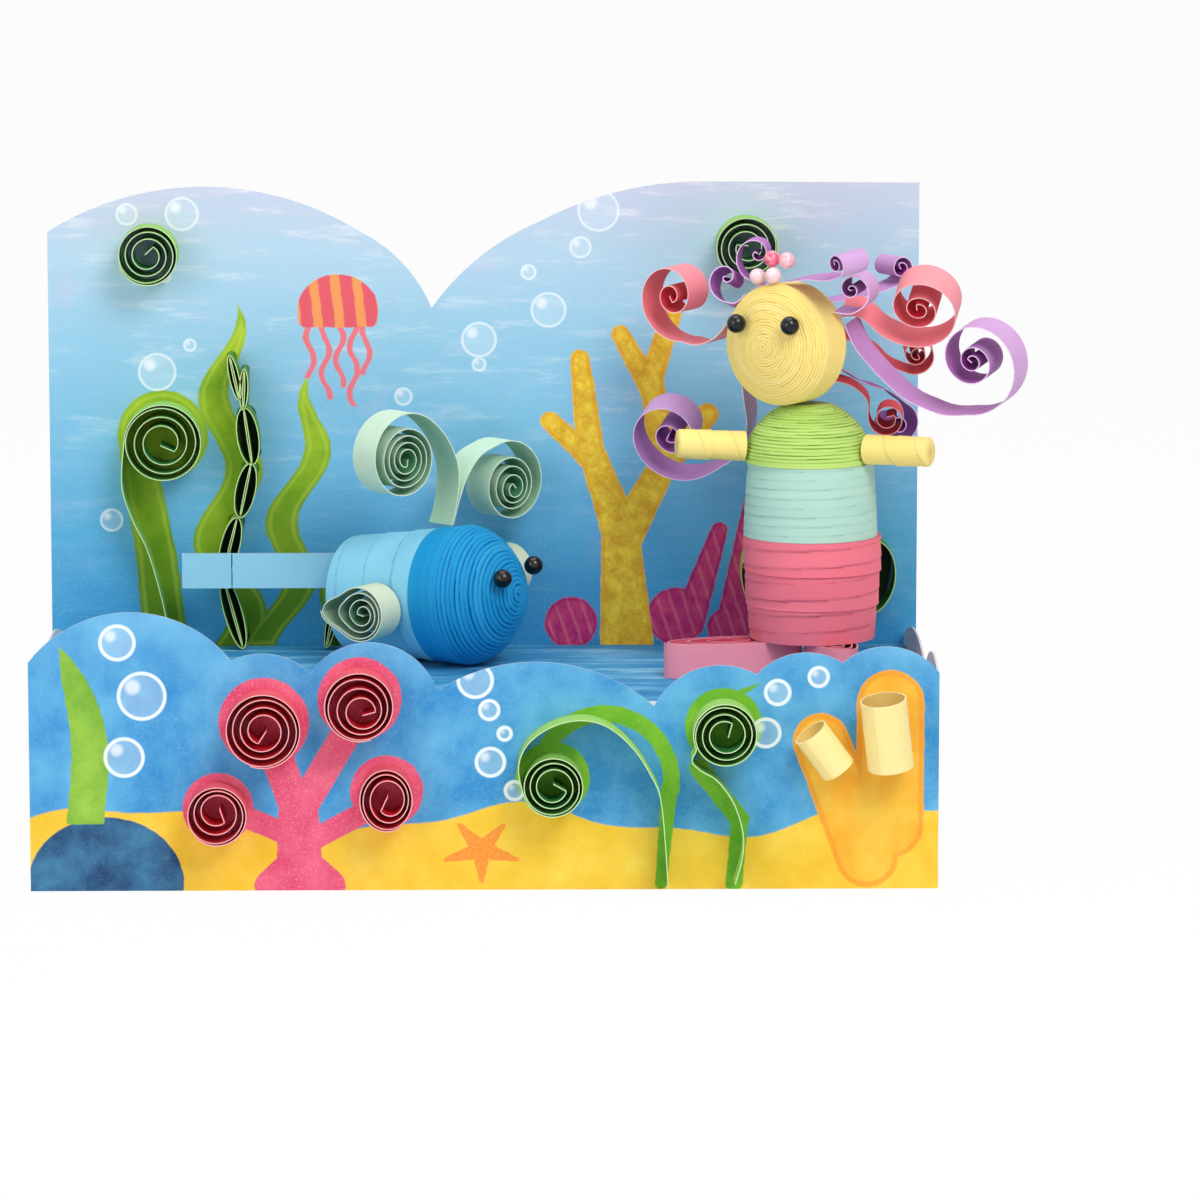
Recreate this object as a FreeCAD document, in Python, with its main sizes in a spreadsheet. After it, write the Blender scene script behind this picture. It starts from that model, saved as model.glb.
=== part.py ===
import FreeCAD, Part
import math
import os
from FreeCAD import Placement, Rotation, Vector

# Quilled paper seascape: a folded card tray with a scalloped front and a backdrop, coils and
# scrolls of paper strip stood on edge on both, and two quilled figures that rest on the deck.
# Millimetres. +X right, +Y away from the viewer, +Z up. The origin is at the middle of the
# front wall's foot, on the table.

doc = FreeCAD.newDocument("QuilledSeascape")

SIZES = {
    # card
    "card_width": 280.0,
    "card_depth": 110.0,
    "card_thickness": 0.6,
    "deck_height": 58.9,
    "deck_side_gap": 0.4,
    "glue_tab": 9.0,
    "side_taper": 3.5,
    "side_wall_front": 71.0,
    "side_wall_back": 66.0,
    "glue_film": 0.1,
    # paper strip
    "strip_width": 11.0,
    "paper": 0.3,
    # coils on the front wall
    "coral_radius_upper": 11.5,
    "coral_radius_middle": 10.7,
    "coral_radius_lower": 9.2,
    "coral_radius_side": 9.0,
    "arch_coil_radius": 9.3,
    "reed_coil_radius": 9.8,
    "tall_tube_radius": 7.2,
    "tall_tube_length": 22.0,
    "short_tube_radius": 5.6,
    "short_tube_length": 15.0,
    "tube_wall": 0.6,
    # coils on the backdrop
    "back_coil_radius": 9.6,
    "fern_coil_radius": 12.4,
    # whale
    "whale_rear_radius": 19.0,
    "whale_ring_radius": 22.3,
    "whale_body_length": 33.2,
    "whale_band_length": 10.5,
    "whale_dome_height": 17.9,
    "whale_turn": 58.0,
    "whale_fin_radius": 8.8,
    "whale_tail_length": 53.0,
    "whale_tail_thickness": 3.0,
    # standing doll
    "doll_x": 103.4,
    "doll_y": 56.0,
    "skirt_foot_radius": 19.8,
    "skirt_top_radius": 21.9,
    "skirt_height": 32.4,
    "waist_height": 23.2,
    "waist_top_radius": 19.9,
    "bodice_height": 18.3,
    "neck_radius": 6.8,
    "head_radius": 19.1,
    "head_band": 11.0,
    "face_dome": 8.0,
    "cap_dome": 8.5,
    "arm_radius": 4.7,
    "arm_length": 21.6,
    "bead_radius": 3.0,
    "hair_bead_radius": 2.6,
}

sheet = doc.addObject("Spreadsheet::Sheet", "Sizes")
for row, (alias, value) in enumerate(SIZES.items(), start=1):
    sheet.set("A%d" % row, alias)
    sheet.set("B%d" % row, str(value))
    sheet.setAlias("B%d" % row, alias)
doc.recompute()


def size(alias):
    """One size, read from its cell."""
    return float(sheet.get(alias))


WIDTH = size("card_width")
DEPTH = size("card_depth")
CARD = size("card_thickness")
DECK = size("deck_height")
STRIP = size("strip_width")
PAPER = size("paper")
FILM = size("glue_film")
HALF = WIDTH / 2

STEPS_PER_TURN = 12
STEM_STEPS = 2
ROUND_SIDES = 32
BEAD_SIDES = 10
pieces = []


def facing(point, yaw=0.0, pitch=0.0):
    """A placement whose local X runs right, local Y up and local Z at the viewer. Yaw turns
    the back of the piece to the right, and pitch lifts it."""
    turn = Rotation(Vector(0, 0, 1), -yaw) * Rotation(Vector(1, 0, 0), 90 + pitch)
    return Placement(Vector(*point), turn)


def new_piece(name, placement=Placement()):
    body = doc.addObject("PartDesign::Body", name)
    body.Label = name
    body.Placement = placement
    pieces.append(body)
    return body


def new_sketch(body, role="XY_Plane", word="outline"):
    sketch = body.newObject("Sketcher::SketchObject", body.Name + "_" + word)
    plane = [f for f in body.Origin.OriginFeatures if f.Role == role][0]
    sketch.AttachmentSupport = [(plane, "")]
    sketch.MapMode = "FlatFace"
    return sketch


def add_runs(sketch, points):
    """Straight runs through the points."""
    corners = [Vector(x, y, 0) for x, y in points]
    sketch.addGeometry([Part.LineSegment(a, b) for a, b in zip(corners, corners[1:])], False)


def add_outline(sketch, points):
    """A closed outline of straight runs through the points."""
    add_runs(sketch, list(points) + [points[0]])


def pad(body, sketch, length, away=False):
    feature = body.newObject("PartDesign::Pad", body.Name + "_pad")
    feature.Profile = sketch
    feature.setExpression("Length", length)
    feature.Reversed = away
    body.Tip = feature
    return feature


def smooth(points, steps=STEM_STEPS):
    """Points on a Catmull-Rom curve through the given points."""
    ends = [points[0]] + list(points) + [points[-1]]
    line = []
    for a, b, c, d in zip(ends, ends[1:], ends[2:], ends[3:]):
        for i in range(steps):
            t = i / steps
            line.append(tuple(
                0.5 * (2 * b[k] + (c[k] - a[k]) * t
                       + (2 * a[k] - 5 * b[k] + 4 * c[k] - d[k]) * t ** 2
                       + (3 * b[k] - a[k] - 3 * c[k] + d[k]) * t ** 3)
                for k in (0, 1)))
    line.append(tuple(points[-1]))
    return line


def beside(line, offset):
    """The line moved sideways by the offset, square to it at every point."""
    moved = []
    last = len(line) - 1
    for i, (x, y) in enumerate(line):
        x0, y0 = line[max(i - 1, 0)]
        x1, y1 = line[min(i + 1, last)]
        into, out = (x - x0, y - y0), (x1 - x, y1 - y)
        span_in = math.hypot(*into) or 1.0
        span_out = math.hypot(*out) or 1.0
        dx = into[0] / span_in + out[0] / span_out
        dy = into[1] / span_in + out[1] / span_out
        span = math.hypot(dx, dy)
        half_turn = span / 2 if 0 < i < last else 1.0
        reach = offset / max(half_turn, 0.5)
        moved.append((x - dy / span * reach, y + dx / span * reach))
    return moved


def ribbon(line):
    """The edge-on outline of a paper strip that follows the line."""
    return beside(line, PAPER / 2) + beside(line, -PAPER / 2)[::-1]


def closed_coil(radius, core, turns, flattest=1.0):
    """Radius after so many turns of a coil whose outer end is glued down: the outer turn
    stays round, and the rest unwinds evenly. A coil pressed flat needs more room there."""
    glued = radius - (PAPER + 0.15) / flattest
    return lambda q: radius - (radius - glued) * q if q < 1 else (
        glued - (q - 1) / (turns - 1) * (glued - core))


def open_curl(radius, core, turns):
    """Radius after so many turns of a loose curl, which shrinks by the same share each turn."""
    return lambda q: radius * (core / radius) ** (q / turns)


def big_turn_then_coil(radius, core, turns, held, held_turns):
    """Radius of a wide first turn that settles on a coil of the held radius."""
    def reach(q):
        if q < held_turns:
            return held + (radius - held) * (1 - q / held_turns) ** 1.5
        return held - (q - held_turns) / (turns - held_turns) * (held - core)
    return reach


def spiral(reach_at, turns, start, hand=1, squeeze=(1.0, 1.0), tip=0.0, lean=(0.0, 0.0)):
    """A rolled strip from the outside in. The tip pinches the outer turns where they start,
    and the lean carries the core off centre. The strip ends in the short bend that the
    slotted tool leaves."""
    bend = math.radians(100)
    line = []
    count = round(turns * STEPS_PER_TURN)
    for i in range(count + 1):
        q = i / STEPS_PER_TURN
        s = max(0.0, (q - 1) / (turns - 1))
        reach = reach_at(q)
        angle = math.radians(start) + hand * 2 * math.pi * q
        pinch = 1 + tip * (1 - s) ** 2 * math.exp(-(math.remainder(
            angle - math.radians(start), 2 * math.pi) / 0.45) ** 2)
        line.append((reach * pinch * math.cos(angle) * squeeze[0] + lean[0] * s,
                     reach * pinch * math.sin(angle) * squeeze[1] + lean[1] * s))
    hook = 0.25 * reach
    x = hook * math.cos(angle + hand * bend) * squeeze[0] + lean[0]
    y = hook * math.sin(angle + hand * bend) * squeeze[1] + lean[1]
    line.append((x, y))
    return line


def moved_by(line, centre):
    return [(x + centre[0], y + centre[1]) for x, y in line]


def roll(name, placement, reach_at, turns, start, centre=(0.0, 0.0), stem=(), away=False,
         **shape):
    """A coil or scroll: a strip on edge that follows the spiral, and the stem if it has one."""
    body = new_piece(name, placement)
    sketch = new_sketch(body)
    line = moved_by(spiral(reach_at, turns, start, **shape), centre)
    if stem:
        line = smooth(list(stem) + [line[0], line[1]])[:-STEM_STEPS] + line[1:]
    add_outline(sketch, ribbon(line))
    pad(body, sketch, "Sizes.strip_width", away)
    return body


def coil(name, placement, radius, core, turns, start, squeeze=(1.0, 1.0), **shape):
    return roll(name, placement, closed_coil(radius, core, turns, min(squeeze)), turns, start,
                squeeze=squeeze, **shape)


def on_front(x, z):
    return facing((x, -FILM, z))


def on_backdrop(x, z):
    return facing((x, DEPTH - FILM, z))


def wound(name, placement, profile):
    """A wound body: one many-sided ring for each radius and height of the profile, joined by
    straight facets along the local Z axis."""
    body = new_piece(name, placement)
    rings = []
    for number, (radius, height) in enumerate(profile):
        ring = new_sketch(body, "XY_Plane", "ring_%d" % number)
        ring.AttachmentOffset = Placement(Vector(0, 0, height), Rotation())
        angles = [2 * math.pi * (i + 0.5) / ROUND_SIDES for i in range(ROUND_SIDES)]
        add_outline(ring, [(radius * math.cos(a), radius * math.sin(a)) for a in angles])
        rings.append(ring)
    feature = body.newObject("PartDesign::AdditiveLoft", name + "_loft")
    feature.Profile = rings[0]
    feature.Sections = rings[1:]
    feature.Ruled = True
    body.Tip = feature
    return body


def many_sided(body, radius, foot, length, sides):
    """A straight many-sided block from the foot up, so many millimetres long."""
    sketch = new_sketch(body)
    sketch.AttachmentOffset = Placement(Vector(0, 0, foot), Rotation())
    angles = [2 * math.pi * (i + 0.5) / sides for i in range(sides)]
    add_outline(sketch, [(radius * math.cos(a), radius * math.sin(a)) for a in angles])
    return pad(body, sketch, length)


def cut_back(body, block, height, distance, into_end=None):
    """The block with its edges at the given height cut back, by the same distance on both
    sides of them, or by another distance into the flat end."""
    doc.recompute()
    rim = ["Edge%d" % number for number, edge in enumerate(block.Shape.Edges, start=1)
           if abs(edge.BoundBox.ZMin - height) < 0.01 and abs(edge.BoundBox.ZMax - height) < 0.01]
    cut = body.newObject("PartDesign::Chamfer", body.Name + "_rim")
    cut.Base = (block, rim)
    cut.Size = distance
    if into_end:
        cut.ChamferType = "Two distances"
        cut.Size2 = into_end
    body.Tip = cut
    return cut


# Card

def scallops(points):
    """Arcs through valley, crest, valley and so on, as a chain of outline edges."""
    spots = [Vector(x, z, 0) for x, z in points]
    arcs = []
    for left, crest, right in zip(spots[::2], spots[1::2], spots[2::2]):
        edge = Part.Arc(right, crest, left).toShape()
        arcs.append(Part.ArcOfCircle(edge.Curve, edge.FirstParameter, edge.LastParameter))
    return arcs


def card_wall(name, placement, scalloped, shoulder=()):
    """A flat card with a straight foot and sides and a scalloped top edge, which may end in
    straight runs on the right."""
    body = new_piece(name, placement)
    sketch = new_sketch(body)
    first, last = scalloped[0], scalloped[-1]
    end = shoulder[-1] if shoulder else last
    sketch.addGeometry(scallops(scalloped), False)
    add_runs(sketch, [first, (first[0], 0), (end[0], 0)] + list(shoulder)[::-1] + [last])
    pad(body, sketch, "Sizes.card_thickness", away=True)
    return body


def make_backdrop():
    """Two rolling hills and a straight shoulder on the right."""
    top = [(-HALF, 193.4), (-91.5, 207.8), (-40.0, 193.5), (-25.5, 182.5), (-16.8, 168.6),
           (-2.0, 184.5), (17.5, 196.3), (43.0, 206.0), (72.0, 209.3)]
    card_wall("backdrop_panel", facing((0, DEPTH, 0)), top, shoulder=[(HALF, 208.8)])


def make_wave_tray():
    """One folded card: the scalloped front, two side walls that close in towards the back,
    and their glue tabs."""
    front = [(-HALF, 71.3), (-107.6, 86.9), (-77.7, 71.8), (-66.6, 73.9), (-53.5, 67.8),
             (-33.5, 77.3), (-14.5, 62.3), (17.1, 71.2), (52.2, 57.3), (73.0, 70.0),
             (83.8, 67.1), (101.0, 73.8), (110.2, 70.6), (124.1, 75.7), (HALF, 67.4)]
    body = card_wall("wave_tray", facing((0, 0, 0)), front)
    reach = DEPTH - FILM
    lean = math.degrees(math.atan2(size("side_taper"), reach))
    tall, low = size("side_wall_front"), size("side_wall_back")
    top = [(0.2, tall - 4.5), (0.16 * reach, tall), (0.36 * reach, low - 3.5),
           (0.68 * reach, low + 3.0), (reach - CARD, low - 4.0)]
    for hand, word in ((-1, "left"), (1, "right")):
        wall = new_sketch(body, "YZ_Plane", word + "_wall")
        edge = HALF - CARD if hand > 0 else -HALF
        wall.AttachmentOffset = Placement(Vector(0, 0, edge),
                                          Rotation(Vector(1, 0, 0), hand * lean))
        upright = [(height, -depth) for depth, height in top]
        wall.addGeometry(scallops(upright), False)
        end, start = upright[-1], upright[0]
        add_runs(wall, [end, (0, end[1]), (0, start[1]), start])
        pad(body, wall, "Sizes.card_thickness")
        tab = new_sketch(body, "XY_Plane", word + "_tab")
        tab.AttachmentOffset = Placement(Vector(0, 0, CARD - reach), Rotation())
        outer = hand * (HALF - size("side_taper") - CARD / 2)
        inner = outer - hand * size("glue_tab")
        foot, head = 2.0, low - 8.0
        add_outline(tab, [(inner, foot + 3), (outer, foot), (outer, head), (inner, head - 3)])
        pad(body, tab, "Sizes.card_thickness", away=True)


def make_deck():
    """The stage: a sheet with a tab folded down at the front and the back."""
    breadth = WIDTH - 2 * (size("side_taper") + CARD + size("deck_side_gap"))
    across = Rotation(Vector(0, 0, 1), 90) * Rotation(Vector(1, 0, 0), 90)
    body = new_piece("deck_platform", Placement(Vector(-breadth / 2, 0, 0), across))
    sketch = new_sketch(body)
    near, far = CARD + FILM, DEPTH - FILM - CARD - FILM
    tab = size("glue_tab")
    add_outline(sketch, [
        (near, DECK - tab), (near, DECK), (far, DECK), (far, DECK - tab),
        (far - CARD, DECK - tab), (far - CARD, DECK - CARD), (near + CARD, DECK - CARD),
        (near + CARD, DECK - tab)])
    pad(body, sketch, "Sizes.card_width - 2 * Sizes.side_taper"
        " - 2 * Sizes.card_thickness - 2 * Sizes.deck_side_gap")


# Quills on the backdrop

def make_backdrop_quills():
    radius = size("back_coil_radius")
    coil("coil_backdrop_left", on_backdrop(-107.4, 186.7), radius, 3.4, 3.6, 200)
    coil("coil_backdrop_right", on_backdrop(84.2, 188.9), radius + 0.3, 3.4, 3.6, 20, hand=-1)
    fern = size("fern_coil_radius")
    coil("fern_scroll", on_backdrop(-103.1, 126.4), fern, 4.6, 3.6, 180, hand=-1,
         stem=[(1.0, 59.1 - 126.4), (0.4, -56.6), (-2.7, -43.2), (-5.9, -33.3),
               (-10.4, -23.8), (-13.3, -13.6)])
    seaweed_chain()
    leaf("leaf_behind_whale", (-49.3, 68.3), 8.9, 1.7, -12)
    leaf("leaf_behind_left", (88.5, 81.0), 12.0, 5.6, 10)
    leaf("leaf_behind_right", (124.0, 82.2), 12.6, 8.6, -8)


def lens(half_length, half_width, steps=6):
    """Half of a leaf outline: a bow from tip to tip."""
    return [(half_width * math.sin(math.pi * i / steps),
             half_length * math.cos(math.pi * i / steps)) for i in range(steps + 1)]


def leaf_ring(body, centre, half_length, half_width, tilt):
    """A strip folded round into a pointed loop, as the outline inside an outline."""
    sketch = new_sketch(body)
    a = math.radians(tilt)

    def place(points):
        return [(centre[0] + x * math.cos(a) - y * math.sin(a),
                 centre[1] + x * math.sin(a) + y * math.cos(a)) for x, y in points]

    bow = lens(half_length, half_width)
    mirrored = [(-x, y) for x, y in bow[-2:0:-1]]
    shrink_x = (half_width - PAPER) / half_width
    shrink_y = (half_length - 2.2 * PAPER) / half_length
    add_outline(sketch, place(bow + mirrored))
    add_outline(sketch, place([(x * shrink_x, y * shrink_y) for x, y in bow + mirrored]))
    return pad(body, sketch, "Sizes.strip_width")


def leaf(name, centre, half_length, half_width, tilt):
    body = new_piece(name, on_backdrop(*centre))
    leaf_ring(body, (0, 0), half_length, half_width, tilt)


def seaweed_chain():
    """Pointed loops glued tip to tip, with two loose leaves at the top."""
    body = new_piece("seaweed_chain", on_backdrop(-80.0, DECK))
    leaf_ring(body, (0.0, 88.6), 7.6, 1.7, 12)
    leaf_ring(body, (3.0, 84.8), 6.9, 1.5, -2)
    leaf_ring(body, (4.2, 69.6), 9.6, 3.6, 8)
    leaf_ring(body, (3.3, 52.1), 9.2, 3.3, -12)
    leaf_ring(body, (-1.8, 33.9), 10.0, 3.2, -14)
    leaf_ring(body, (-1.0, 12.4), 12.3, 3.0, 15)


# Quills on the front wall

def make_front_quills():
    coil("coral_coil_1", on_front(-67.8, 51.7), size("coral_radius_upper"), 4.0, 4.0, 250)
    coil("coral_coil_2", on_front(-38.3, 59.1), size("coral_radius_middle"), 3.8, 3.8, 290,
         hand=-1, lean=(1.2, -1.6))
    coil("coral_coil_3", on_front(-82.1, 25.3), size("coral_radius_lower"), 4.2, 3.2, 230,
         lean=(0.2, 1.6))
    coil("coral_coil_4", on_front(-30.1, 30.1), size("coral_radius_side"), 4.4, 3.2, 300,
         hand=-1, squeeze=(0.92, 1.08), lean=(1.0, 0.2))
    coil("arch_scroll", on_front(21.0, 34.0), size("arch_coil_radius"), 4.2, 3.4, 200, hand=1,
         stem=[(35.3, -32.0), (34.6, -20.0), (33.0, -4.0), (30.0, 3.6), (24.6, 12.0),
               (17.0, 18.6), (8.9, 20.8), (0.0, 19.0), (-7.6, 13.6), (-10.6, 6.0)])
    coil("reed_scroll", on_front(73.8, 50.0), size("reed_coil_radius"), 4.2, 3.4, 205, hand=-1,
         stem=[(3.1, -46.4), (5.2, -38.6), (5.5, -30.8), (2.7, -21.4), (-2.4, -14.2),
               (-7.4, -11.0), (-10.2, -8.0)])
    tube("sponge_tube_tall", (122.0, 61.0), "tall_tube_radius", "tall_tube_length", 7, 9)
    tube("sponge_tube_short", (99.9, 50.5), "short_tube_radius", "short_tube_length", 36, 8)


def tube(name, top, radius, length, side_lean, forward_lean):
    """A strip rolled into a plain open tube, which leans out from the wall at its top."""
    reach = size(length) * math.sin(math.radians(forward_lean))
    stand = size(radius) + reach + 3 * FILM
    turn = (Rotation(Vector(0, 1, 0), -side_lean) * Rotation(Vector(1, 0, 0), forward_lean))
    body = new_piece(name, Placement(Vector(top[0], -stand, top[1]), turn))
    sketch = new_sketch(body)
    for wall in (0.0, size("tube_wall")):
        sketch.addGeometry(Part.Circle(Vector(0, 0, 0), Vector(0, 0, 1), size(radius) - wall))
    pad(body, sketch, "Sizes." + length, away=True)


# Whale

TURN = math.radians(size("whale_turn"))
WHALE_REAR = (-41.0, 92.3)
WHALE_RUN = size("whale_body_length") + size("whale_band_length")
WHALE_TILT = math.atan2(size("whale_ring_radius") - size("whale_rear_radius"), WHALE_RUN)


def along_whale(station):
    """A point on the whale's axis, so many millimetres ahead of its rear end."""
    flat = station * math.cos(WHALE_TILT)
    height = DECK + 3 * FILM + size("whale_rear_radius") / math.cos(WHALE_TILT)
    return (WHALE_REAR[0] + flat * math.sin(TURN), WHALE_REAR[1] - flat * math.cos(TURN),
            height + station * math.sin(WHALE_TILT))


def whale_radius(station):
    share = station / WHALE_RUN
    rear = size("whale_rear_radius")
    return rear + share * (size("whale_ring_radius") - rear)


def whale_axis_placement(station):
    return facing(along_whale(station), -math.degrees(TURN), -math.degrees(WHALE_TILT))


def on_whale(right, up, out, station=0.0):
    """A point given in the whale's own cross-section, carried into the model's frame."""
    spot = whale_axis_placement(station).multVec(Vector(right, up, out))
    return (spot.x, spot.y, spot.z)


def make_whale():
    length = size("whale_body_length")
    seam = whale_radius(length)
    wound("whale_body", whale_axis_placement(0), [
        (size("whale_rear_radius") - 1.2, 0), (size("whale_rear_radius"), 0.6),
        (whale_radius(STRIP), STRIP), (whale_radius(2 * STRIP) - 0.25, 2 * STRIP),
        (seam - 0.25, length)])
    ring = size("whale_ring_radius")
    band, dome = size("whale_band_length"), size("whale_dome_height")
    head = new_piece("whale_head", whale_axis_placement(length + FILM))
    block = many_sided(head, ring, 0, "Sizes.whale_band_length + Sizes.whale_dome_height",
                       ROUND_SIDES)
    block = cut_back(head, block, 0, band - PAPER, ring - seam)
    slope = 0.78 * dome
    block = cut_back(head, block, band + dome, slope)
    block = cut_back(head, block, band + dome, 0.36 * slope)
    cut_back(head, block, band + dome - slope, 0.25 * slope)
    for name, right, up, out in (("whale_eye_near", -9.6, 6.4, 1.01),
                                 ("whale_eye_far", 11.2, 8.0, 0.94)):
        spot = on_whale(right, up, band + out * dome, length)
        bead(name, spot, "bead_radius")
    foot = on_whale(1.5, 0, 0, length + 2)
    top = along_whale(length + 2)[2] + whale_radius(length + 2) + 0.35
    spout = facing((foot[0], foot[1], top), -40)
    roll("whale_spout_left", spout, big_turn_then_coil(15.4, 2.2, 4.6, 10.2, 0.9), 4.6, 58,
         centre=(-18.2, 22.6), away=True,
         stem=[(0, 0), (1.9, 5.4), (3.2, 13.0), (2.8, 19.4), (0.2, 25.4), (-3.9, 30.9)])
    roll("whale_spout_right", spout, big_turn_then_coil(14.6, 1.9, 4.0, 8.2, 1.3), 4.0, 118,
         hand=-1, centre=(25.2, 11.0), away=True, lean=(1.4, -1.6),
         stem=[(0.7, 0), (3.7, 8.6), (6.9, 15.4), (12.0, 21.2)])
    fin = size("whale_fin_radius")
    side = 90 - math.degrees(TURN)
    for name, station, up, yaw in (("whale_fin_near", 22.0, -2.0, side),
                                   ("whale_fin_far", 37.0, 4.0, side + 180)):
        hand = 1 if yaw == side else -1
        out = -hand * (whale_radius(station + 10) + 0.4)
        spot = on_whale(out, up, 0, station)
        coil(name, facing(spot, yaw), fin, 2.0, 4.0, 180 if hand > 0 else 0, hand=hand,
             tip=0.62, lean=(1.6 * hand, 0))
    tail_end = WHALE_REAR[0] - 2.9
    half = size("whale_tail_length") / 2
    flat = size("whale_tail_thickness") / 2
    body = new_piece("whale_tail", Placement(
        Vector(tail_end - half, WHALE_REAR[1] - 0.6, 80.6), Rotation()))
    sketch = new_sketch(body)
    wall = 2 * PAPER
    add_outline(sketch, [(-half, -flat), (half, -flat), (half, flat), (-half, flat)])
    add_outline(sketch, [(wall - half, wall - flat), (half - wall, wall - flat),
                         (half - wall, flat - wall), (wall - half, flat - wall)])
    pad(body, sketch, "Sizes.strip_width")


def bead(name, spot, radius):
    """A round bead in three rings of facets: a many-sided block with both rims cut back."""
    r = size(radius)
    body = new_piece(name, facing(spot))
    block = many_sided(body, 0.97 * r, -0.9 * r, "1.8 * Sizes." + radius, BEAD_SIDES)
    for end in (-0.9 * r, 0.9 * r):
        block = cut_back(body, block, end, 0.55 * r)


# Doll

DOLL = (size("doll_x"), size("doll_y"))
FIN_TOP = DECK + FILM + STRIP
SKIRT_FOOT = FIN_TOP + FILM
WAIST_FOOT = SKIRT_FOOT + size("skirt_height") + FILM
BODICE_FOOT = WAIST_FOOT + size("waist_height") + FILM
NECK_TOP = BODICE_FOOT + size("bodice_height")
HEAD_TURN = 37.0
HEAD_FRONT = Vector(91.8, 49.0, NECK_TOP + size("head_radius") + 2 * FILM)


def on_head(right, up, out):
    """A point given from the front ring of the head, carried into the model's frame."""
    spot = facing(HEAD_FRONT, HEAD_TURN).multVec(Vector(right, up, out))
    return (spot.x, spot.y, spot.z)


def make_doll():
    x, y = DOLL
    foot, top = size("skirt_foot_radius"), size("skirt_top_radius")
    wraps = size("skirt_height") / 3
    wound("doll_skirt", Placement(Vector(x, y, SKIRT_FOOT), Rotation()), [
        (foot, 0), (foot + 0.9, wraps), (foot + 1.3, wraps + PAPER), (top - 0.5, 2 * wraps),
        (top, 2 * wraps + PAPER), (top - 0.1, 3 * wraps)])
    wide = size("waist_top_radius")
    tall = size("waist_height")
    wound("doll_waist", Placement(Vector(x - 0.6, y, WAIST_FOOT), Rotation()), [
        (wide + 1.3, 0), (wide + 1.0, 0.36 * tall), (wide + 0.5, 0.7 * tall), (wide, tall)])
    neck, rise = size("neck_radius"), size("bodice_height")
    bodice = new_piece("doll_bodice", Placement(Vector(x - 1.4, y, BODICE_FOOT), Rotation()))
    block = many_sided(bodice, wide, 0, "Sizes.bodice_height", ROUND_SIDES)
    slope = 0.57 * rise
    block = cut_back(bodice, block, rise, slope)
    block = cut_back(bodice, block, rise, wide - slope - neck)
    cut_back(bodice, block, rise - slope, 0.43 * slope)
    arms()
    head()
    tail_fins()


def arms():
    """Two tight rolls of two strips each, glued to the body by their ends."""
    radius, length = size("arm_radius"), size("arm_length")
    profile = [(radius + 0.1, 0), (radius - 0.1, length / 2), (radius + 0.15, length / 2 + PAPER),
               (radius - 0.05, length - 0.5), (radius - 0.6, length)]
    reach = size("waist_top_radius") + 0.5
    for name, bearing, height, lift in (("doll_arm_left", 188.0, BODICE_FOOT + 5.2, 3.0),
                                        ("doll_arm_right", -28.0, BODICE_FOOT + 4.9, 1.0)):
        a = math.radians(bearing)
        root = Vector(DOLL[0] - 1.4 + reach * math.cos(a), DOLL[1] + reach * math.sin(a), height)
        turn = Rotation(Vector(0, 0, 1), bearing) * Rotation(Vector(0, 1, 0), 90 - lift)
        wound(name, Placement(root, turn), profile)


def head():
    r, band = size("head_radius"), size("head_band")
    dome, cap = size("face_dome"), size("cap_dome")
    wound("doll_face", facing(HEAD_FRONT, HEAD_TURN), [
        (r - 0.5, -band), (r, -band + 1), (r, 0), (0.92 * r, 0.3 * dome), (0.7 * r, 0.62 * dome),
        (0.4 * r, 0.87 * dome), (0.05 * r, dome)])
    wound("doll_cap", facing(on_head(0, 0, -band - FILM), HEAD_TURN), [
        (0.08 * r, -cap), (0.5 * r, -0.85 * cap), (0.8 * r, -0.5 * cap), (0.97 * r, 0)])
    for name, right, up in (("doll_eye_left", -9.0, 6.9), ("doll_eye_right", 10.6, 7.4)):
        away = math.hypot(right, up)
        bead(name, on_head(right, up, dome * (1 - (away / r) ** 2) + 4.3), "bead_radius")


def tail_fins():
    """Two coils pressed flat, which lie on the deck and carry the skirt."""
    flat = Placement(Vector(78.5, 49.0, DECK + FILM), Rotation(Vector(0, 0, 1), 12))
    coil("tail_fin_left", flat, 22.5, 5.0, 3.5, 180, squeeze=(1.0, 0.36))
    front = Placement(Vector(109.0, 44.5, DECK + FILM), Rotation(Vector(0, 0, 1), 105))
    coil("tail_fin_right", front, 16.5, 4.0, 3.5, 0, squeeze=(1.0, 0.44))


# Hair: strips curled at one end and glued round the back of the head

def curl(name, root, yaw, pitch, centre, radius, core, turns, start, hand, stem=()):
    """A curl whose root lies on the head, given as right, up and out from its front ring."""
    roll(name, facing(on_head(*root), yaw, pitch), open_curl(radius, core, turns), turns, start,
         centre=centre, hand=hand, stem=[(0.0, 0.0)] + list(stem), away=True)


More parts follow.
